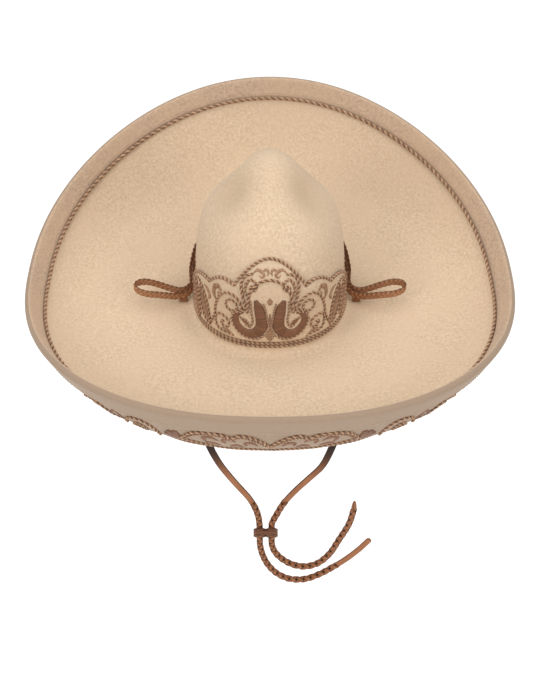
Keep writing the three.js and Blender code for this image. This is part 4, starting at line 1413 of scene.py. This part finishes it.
def make_lining_cap():
    work = Work()
    climbs = np.concatenate([np.linspace(1.5, 2, 8), np.linspace(2, 2.985, 36)[1:]])
    hem = np.clip((climbs - 1.5) / 0.06, 0, 1)
    gather = 0.35 * np.cos(24 * turns)[None, :] * np.clip((climbs - 2.0) / 0.9, 0, 1)[:, None]
    outer = np.stack([crown_point(turns, climb, -FELT - LINING_GAP + g * 0.6)
                      for climb, g in zip(climbs, gather)])
    inner = np.stack([crown_point(turns, climb, -FELT - LINING_GAP - LINING * h + g)
                      for climb, g, h in zip(climbs, gather, 0.4 + 0.6 * hem)])
    work.skin(np.concatenate([outer[::-1], inner]), poles=True)
    return work.finish("satin_lining", lining_satin, "hat", "crown_lining", slot="lining")


lining = make_lining_cap()

# %% Sweatband, reed and bow
SWEATBAND, SWEATBAND_TOP, SWEATBAND_BOTTOM, REED_RADIUS = 1.4, 44, -3, 1.6
SWEATBAND_OUTSIDE = -FELT - 2 * GAP


def make_sweatband():
    work = Work()
    inside = SWEATBAND_OUTSIDE - SWEATBAND
    middle = (SWEATBAND_OUTSIDE + inside) / 2
    rise = np.linspace(SWEATBAND_BOTTOM + 0.6, SWEATBAND_TOP - 0.6, 18)
    profile = [(SWEATBAND_OUTSIDE, z) for z in rise] + [(middle, SWEATBAND_TOP)]
    profile += [(inside - 0.25 * math.sin(math.pi * (z - rise[0]) / (rise[-1] - rise[0])), z)
                for z in rise[::-1]]
    profile += [(middle, SWEATBAND_BOTTOM)]
    rings = np.stack([polar(turns, crown_radius(turns) + lift, z) for lift, z in profile])
    edge = [1.0 if abs(z - SWEATBAND_TOP) < 1 or abs(z - SWEATBAND_BOTTOM) < 1 else 0.0 for _, z in profile]
    work.skin(rings, join_rings=True, tone=0.5, edge=np.array(edge)[:, None])
    return work.finish("leather_sweatband", sweat_leather, "hat", "sweatband", slot="sweatband_leather")


def make_reed():
    work = Work()
    z = SWEATBAND_BOTTOM - GAP - REED_RADIUS
    line = polar(turns, crown_radius(turns) + SWEATBAND_OUTSIDE - SWEATBAND / 2, z)
    add_tube(work, line, REED_RADIUS, REED_RADIUS, polar(turns, 1, 0), sides=12, closed=True, tone=0.3)
    name = "sweatband_edge_reed"
    return work.finish(name, sweat_leather, "hat", "sweatband_reed", slot="sweatband_leather")


def make_sweatband_stitches():
    work = Work()
    lift = SWEATBAND_OUTSIDE - SWEATBAND - 0.2
    for height in (2.0, SWEATBAND_TOP - 4):
        fine = np.linspace(0, 2 * math.pi, 900)
        line, up = even_steps(polar(fine, crown_radius(fine) + lift, height), 1.8, polar(fine, -1.0, 0))
        for i in range(0, len(line) - 1, 2):
            add_stitch(work, line[i], line[i] + (line[i + 1] - line[i]) * 1.3, unit(up[i]), 0.34, tone=0.6)
    return work.finish("sweatband_stitches", fine_thread, "hat", slot="sweatband_leather")


def make_bow():
    work = Work()
    back = CROWN_HALF_LENGTH + SWEATBAND_OUTSIDE - SWEATBAND - 2.3
    height = SWEATBAND_TOP - 14
    up = np.array([0, 0, 1.0])
    for sign in (1, -1):
        loop = [
            (0.5, 0, 0), (5, -1.6, 1.4), (11, -2.4, 3.0), (14.5, -1.6, 1.0), (14, -0.4, -1.4), (8, 0, -1.6),
            (1, 0, -0.4),
        ]
        path = spline([(x * sign, back + y, height + z) for x, y, z in loop], 8)
        add_tube(work, path, 2.3, 0.35, np.cross(directions(path), up), sides=8, tone=0.6)
        tail = [(0.5, 0, -0.5), (4, -0.8, -4), (7.5, -0.9, -9.5)]
        path = spline([(x * sign, back + y, height + z) for x, y, z in tail], 8)
        add_tube(work, path, 2.1, 0.35, np.array([[0, -1.0, 0]] * len(path)), sides=8, tone=0.5)
    knot = spline([(-2.2, back - 0.9, height), (0, back - 2.0, height), (2.2, back - 0.9, height)], 6)
    add_tube(work, knot, 2.0, 1.0, np.array([[0, -1.0, 0]] * len(knot)), sides=10, tone=0.7)
    return work.finish("ribbon_bow", sweat_leather, "hat", "sweatband_bow", slot="sweatband_leather")


make_sweatband()
make_reed()
make_sweatband_stitches()
bow = make_bow()

# %% [markdown]
# ## The wire
# The steel wire lies inside the binding and is never seen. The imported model's own
# shape is good enough, so it only gets the look of drawn steel.

# %% Wire
wire_object = bpy.data.objects["brim_wire"]
for material_slot in wire_object.material_slots:
    material_slot.material = drawn_wire
print("wire slots:", len(wire_object.material_slots))

# %% [markdown]
# ## Floor and light
# A pale floor far below the hat and broad soft lights give the even look of a
# catalogue. The largest light hangs above and a little in front, so that the dish of
# the brim is bright and its outer wall and the strap under it fall into soft shade.

# %% Floor
FLOOR_Z = -0.78
floor_mesh = bpy.data.meshes.new("floor")
floor_corners = [(-6, -6, FLOOR_Z), (6, -6, FLOOR_Z), (6, 6, FLOOR_Z), (-6, 6, FLOOR_Z)]
floor_mesh.from_pydata(floor_corners, [], [(0, 1, 2, 3)])
floor_mesh.materials.append(make_floor())
floor = bpy.data.objects.new("floor", floor_mesh)
bpy.context.scene.collection.objects.link(floor)


# %% Lights
def add_light(name, place, aim, size, power, warmth=(1, 1, 1)):
    lamp = bpy.data.lights.new(name, "AREA")
    lamp.shape = "RECTANGLE"
    lamp.size, lamp.size_y = size
    lamp.energy = power
    lamp.color = warmth
    light = bpy.data.objects.new(name, lamp)
    light.location = place
    light.rotation_euler = (Vector(aim) - Vector(place)).to_track_quat("-Z", "Y").to_euler()
    bpy.context.scene.collection.objects.link(light)


add_light("overhead", (0, 0.3, 3.6), (0, 0, 0), (5.0, 5.0), 112)
add_light("front_left", (-1.8, -2.0, 1.5), (0, 0, 0), (1.4, 1.4), 36)
add_light("front_right", (1.9, -1.8, 1.2), (0, 0, 0), (1.4, 1.4), 26)
world = bpy.data.worlds.new("studio")
world.use_nodes = True
world.node_tree.nodes["Background"].inputs["Color"].default_value = (1, 1, 1, 1)
world.node_tree.nodes["Background"].inputs["Strength"].default_value = 0.4
bpy.context.scene.world = world
bpy.context.scene.view_settings.view_transform = "Standard"
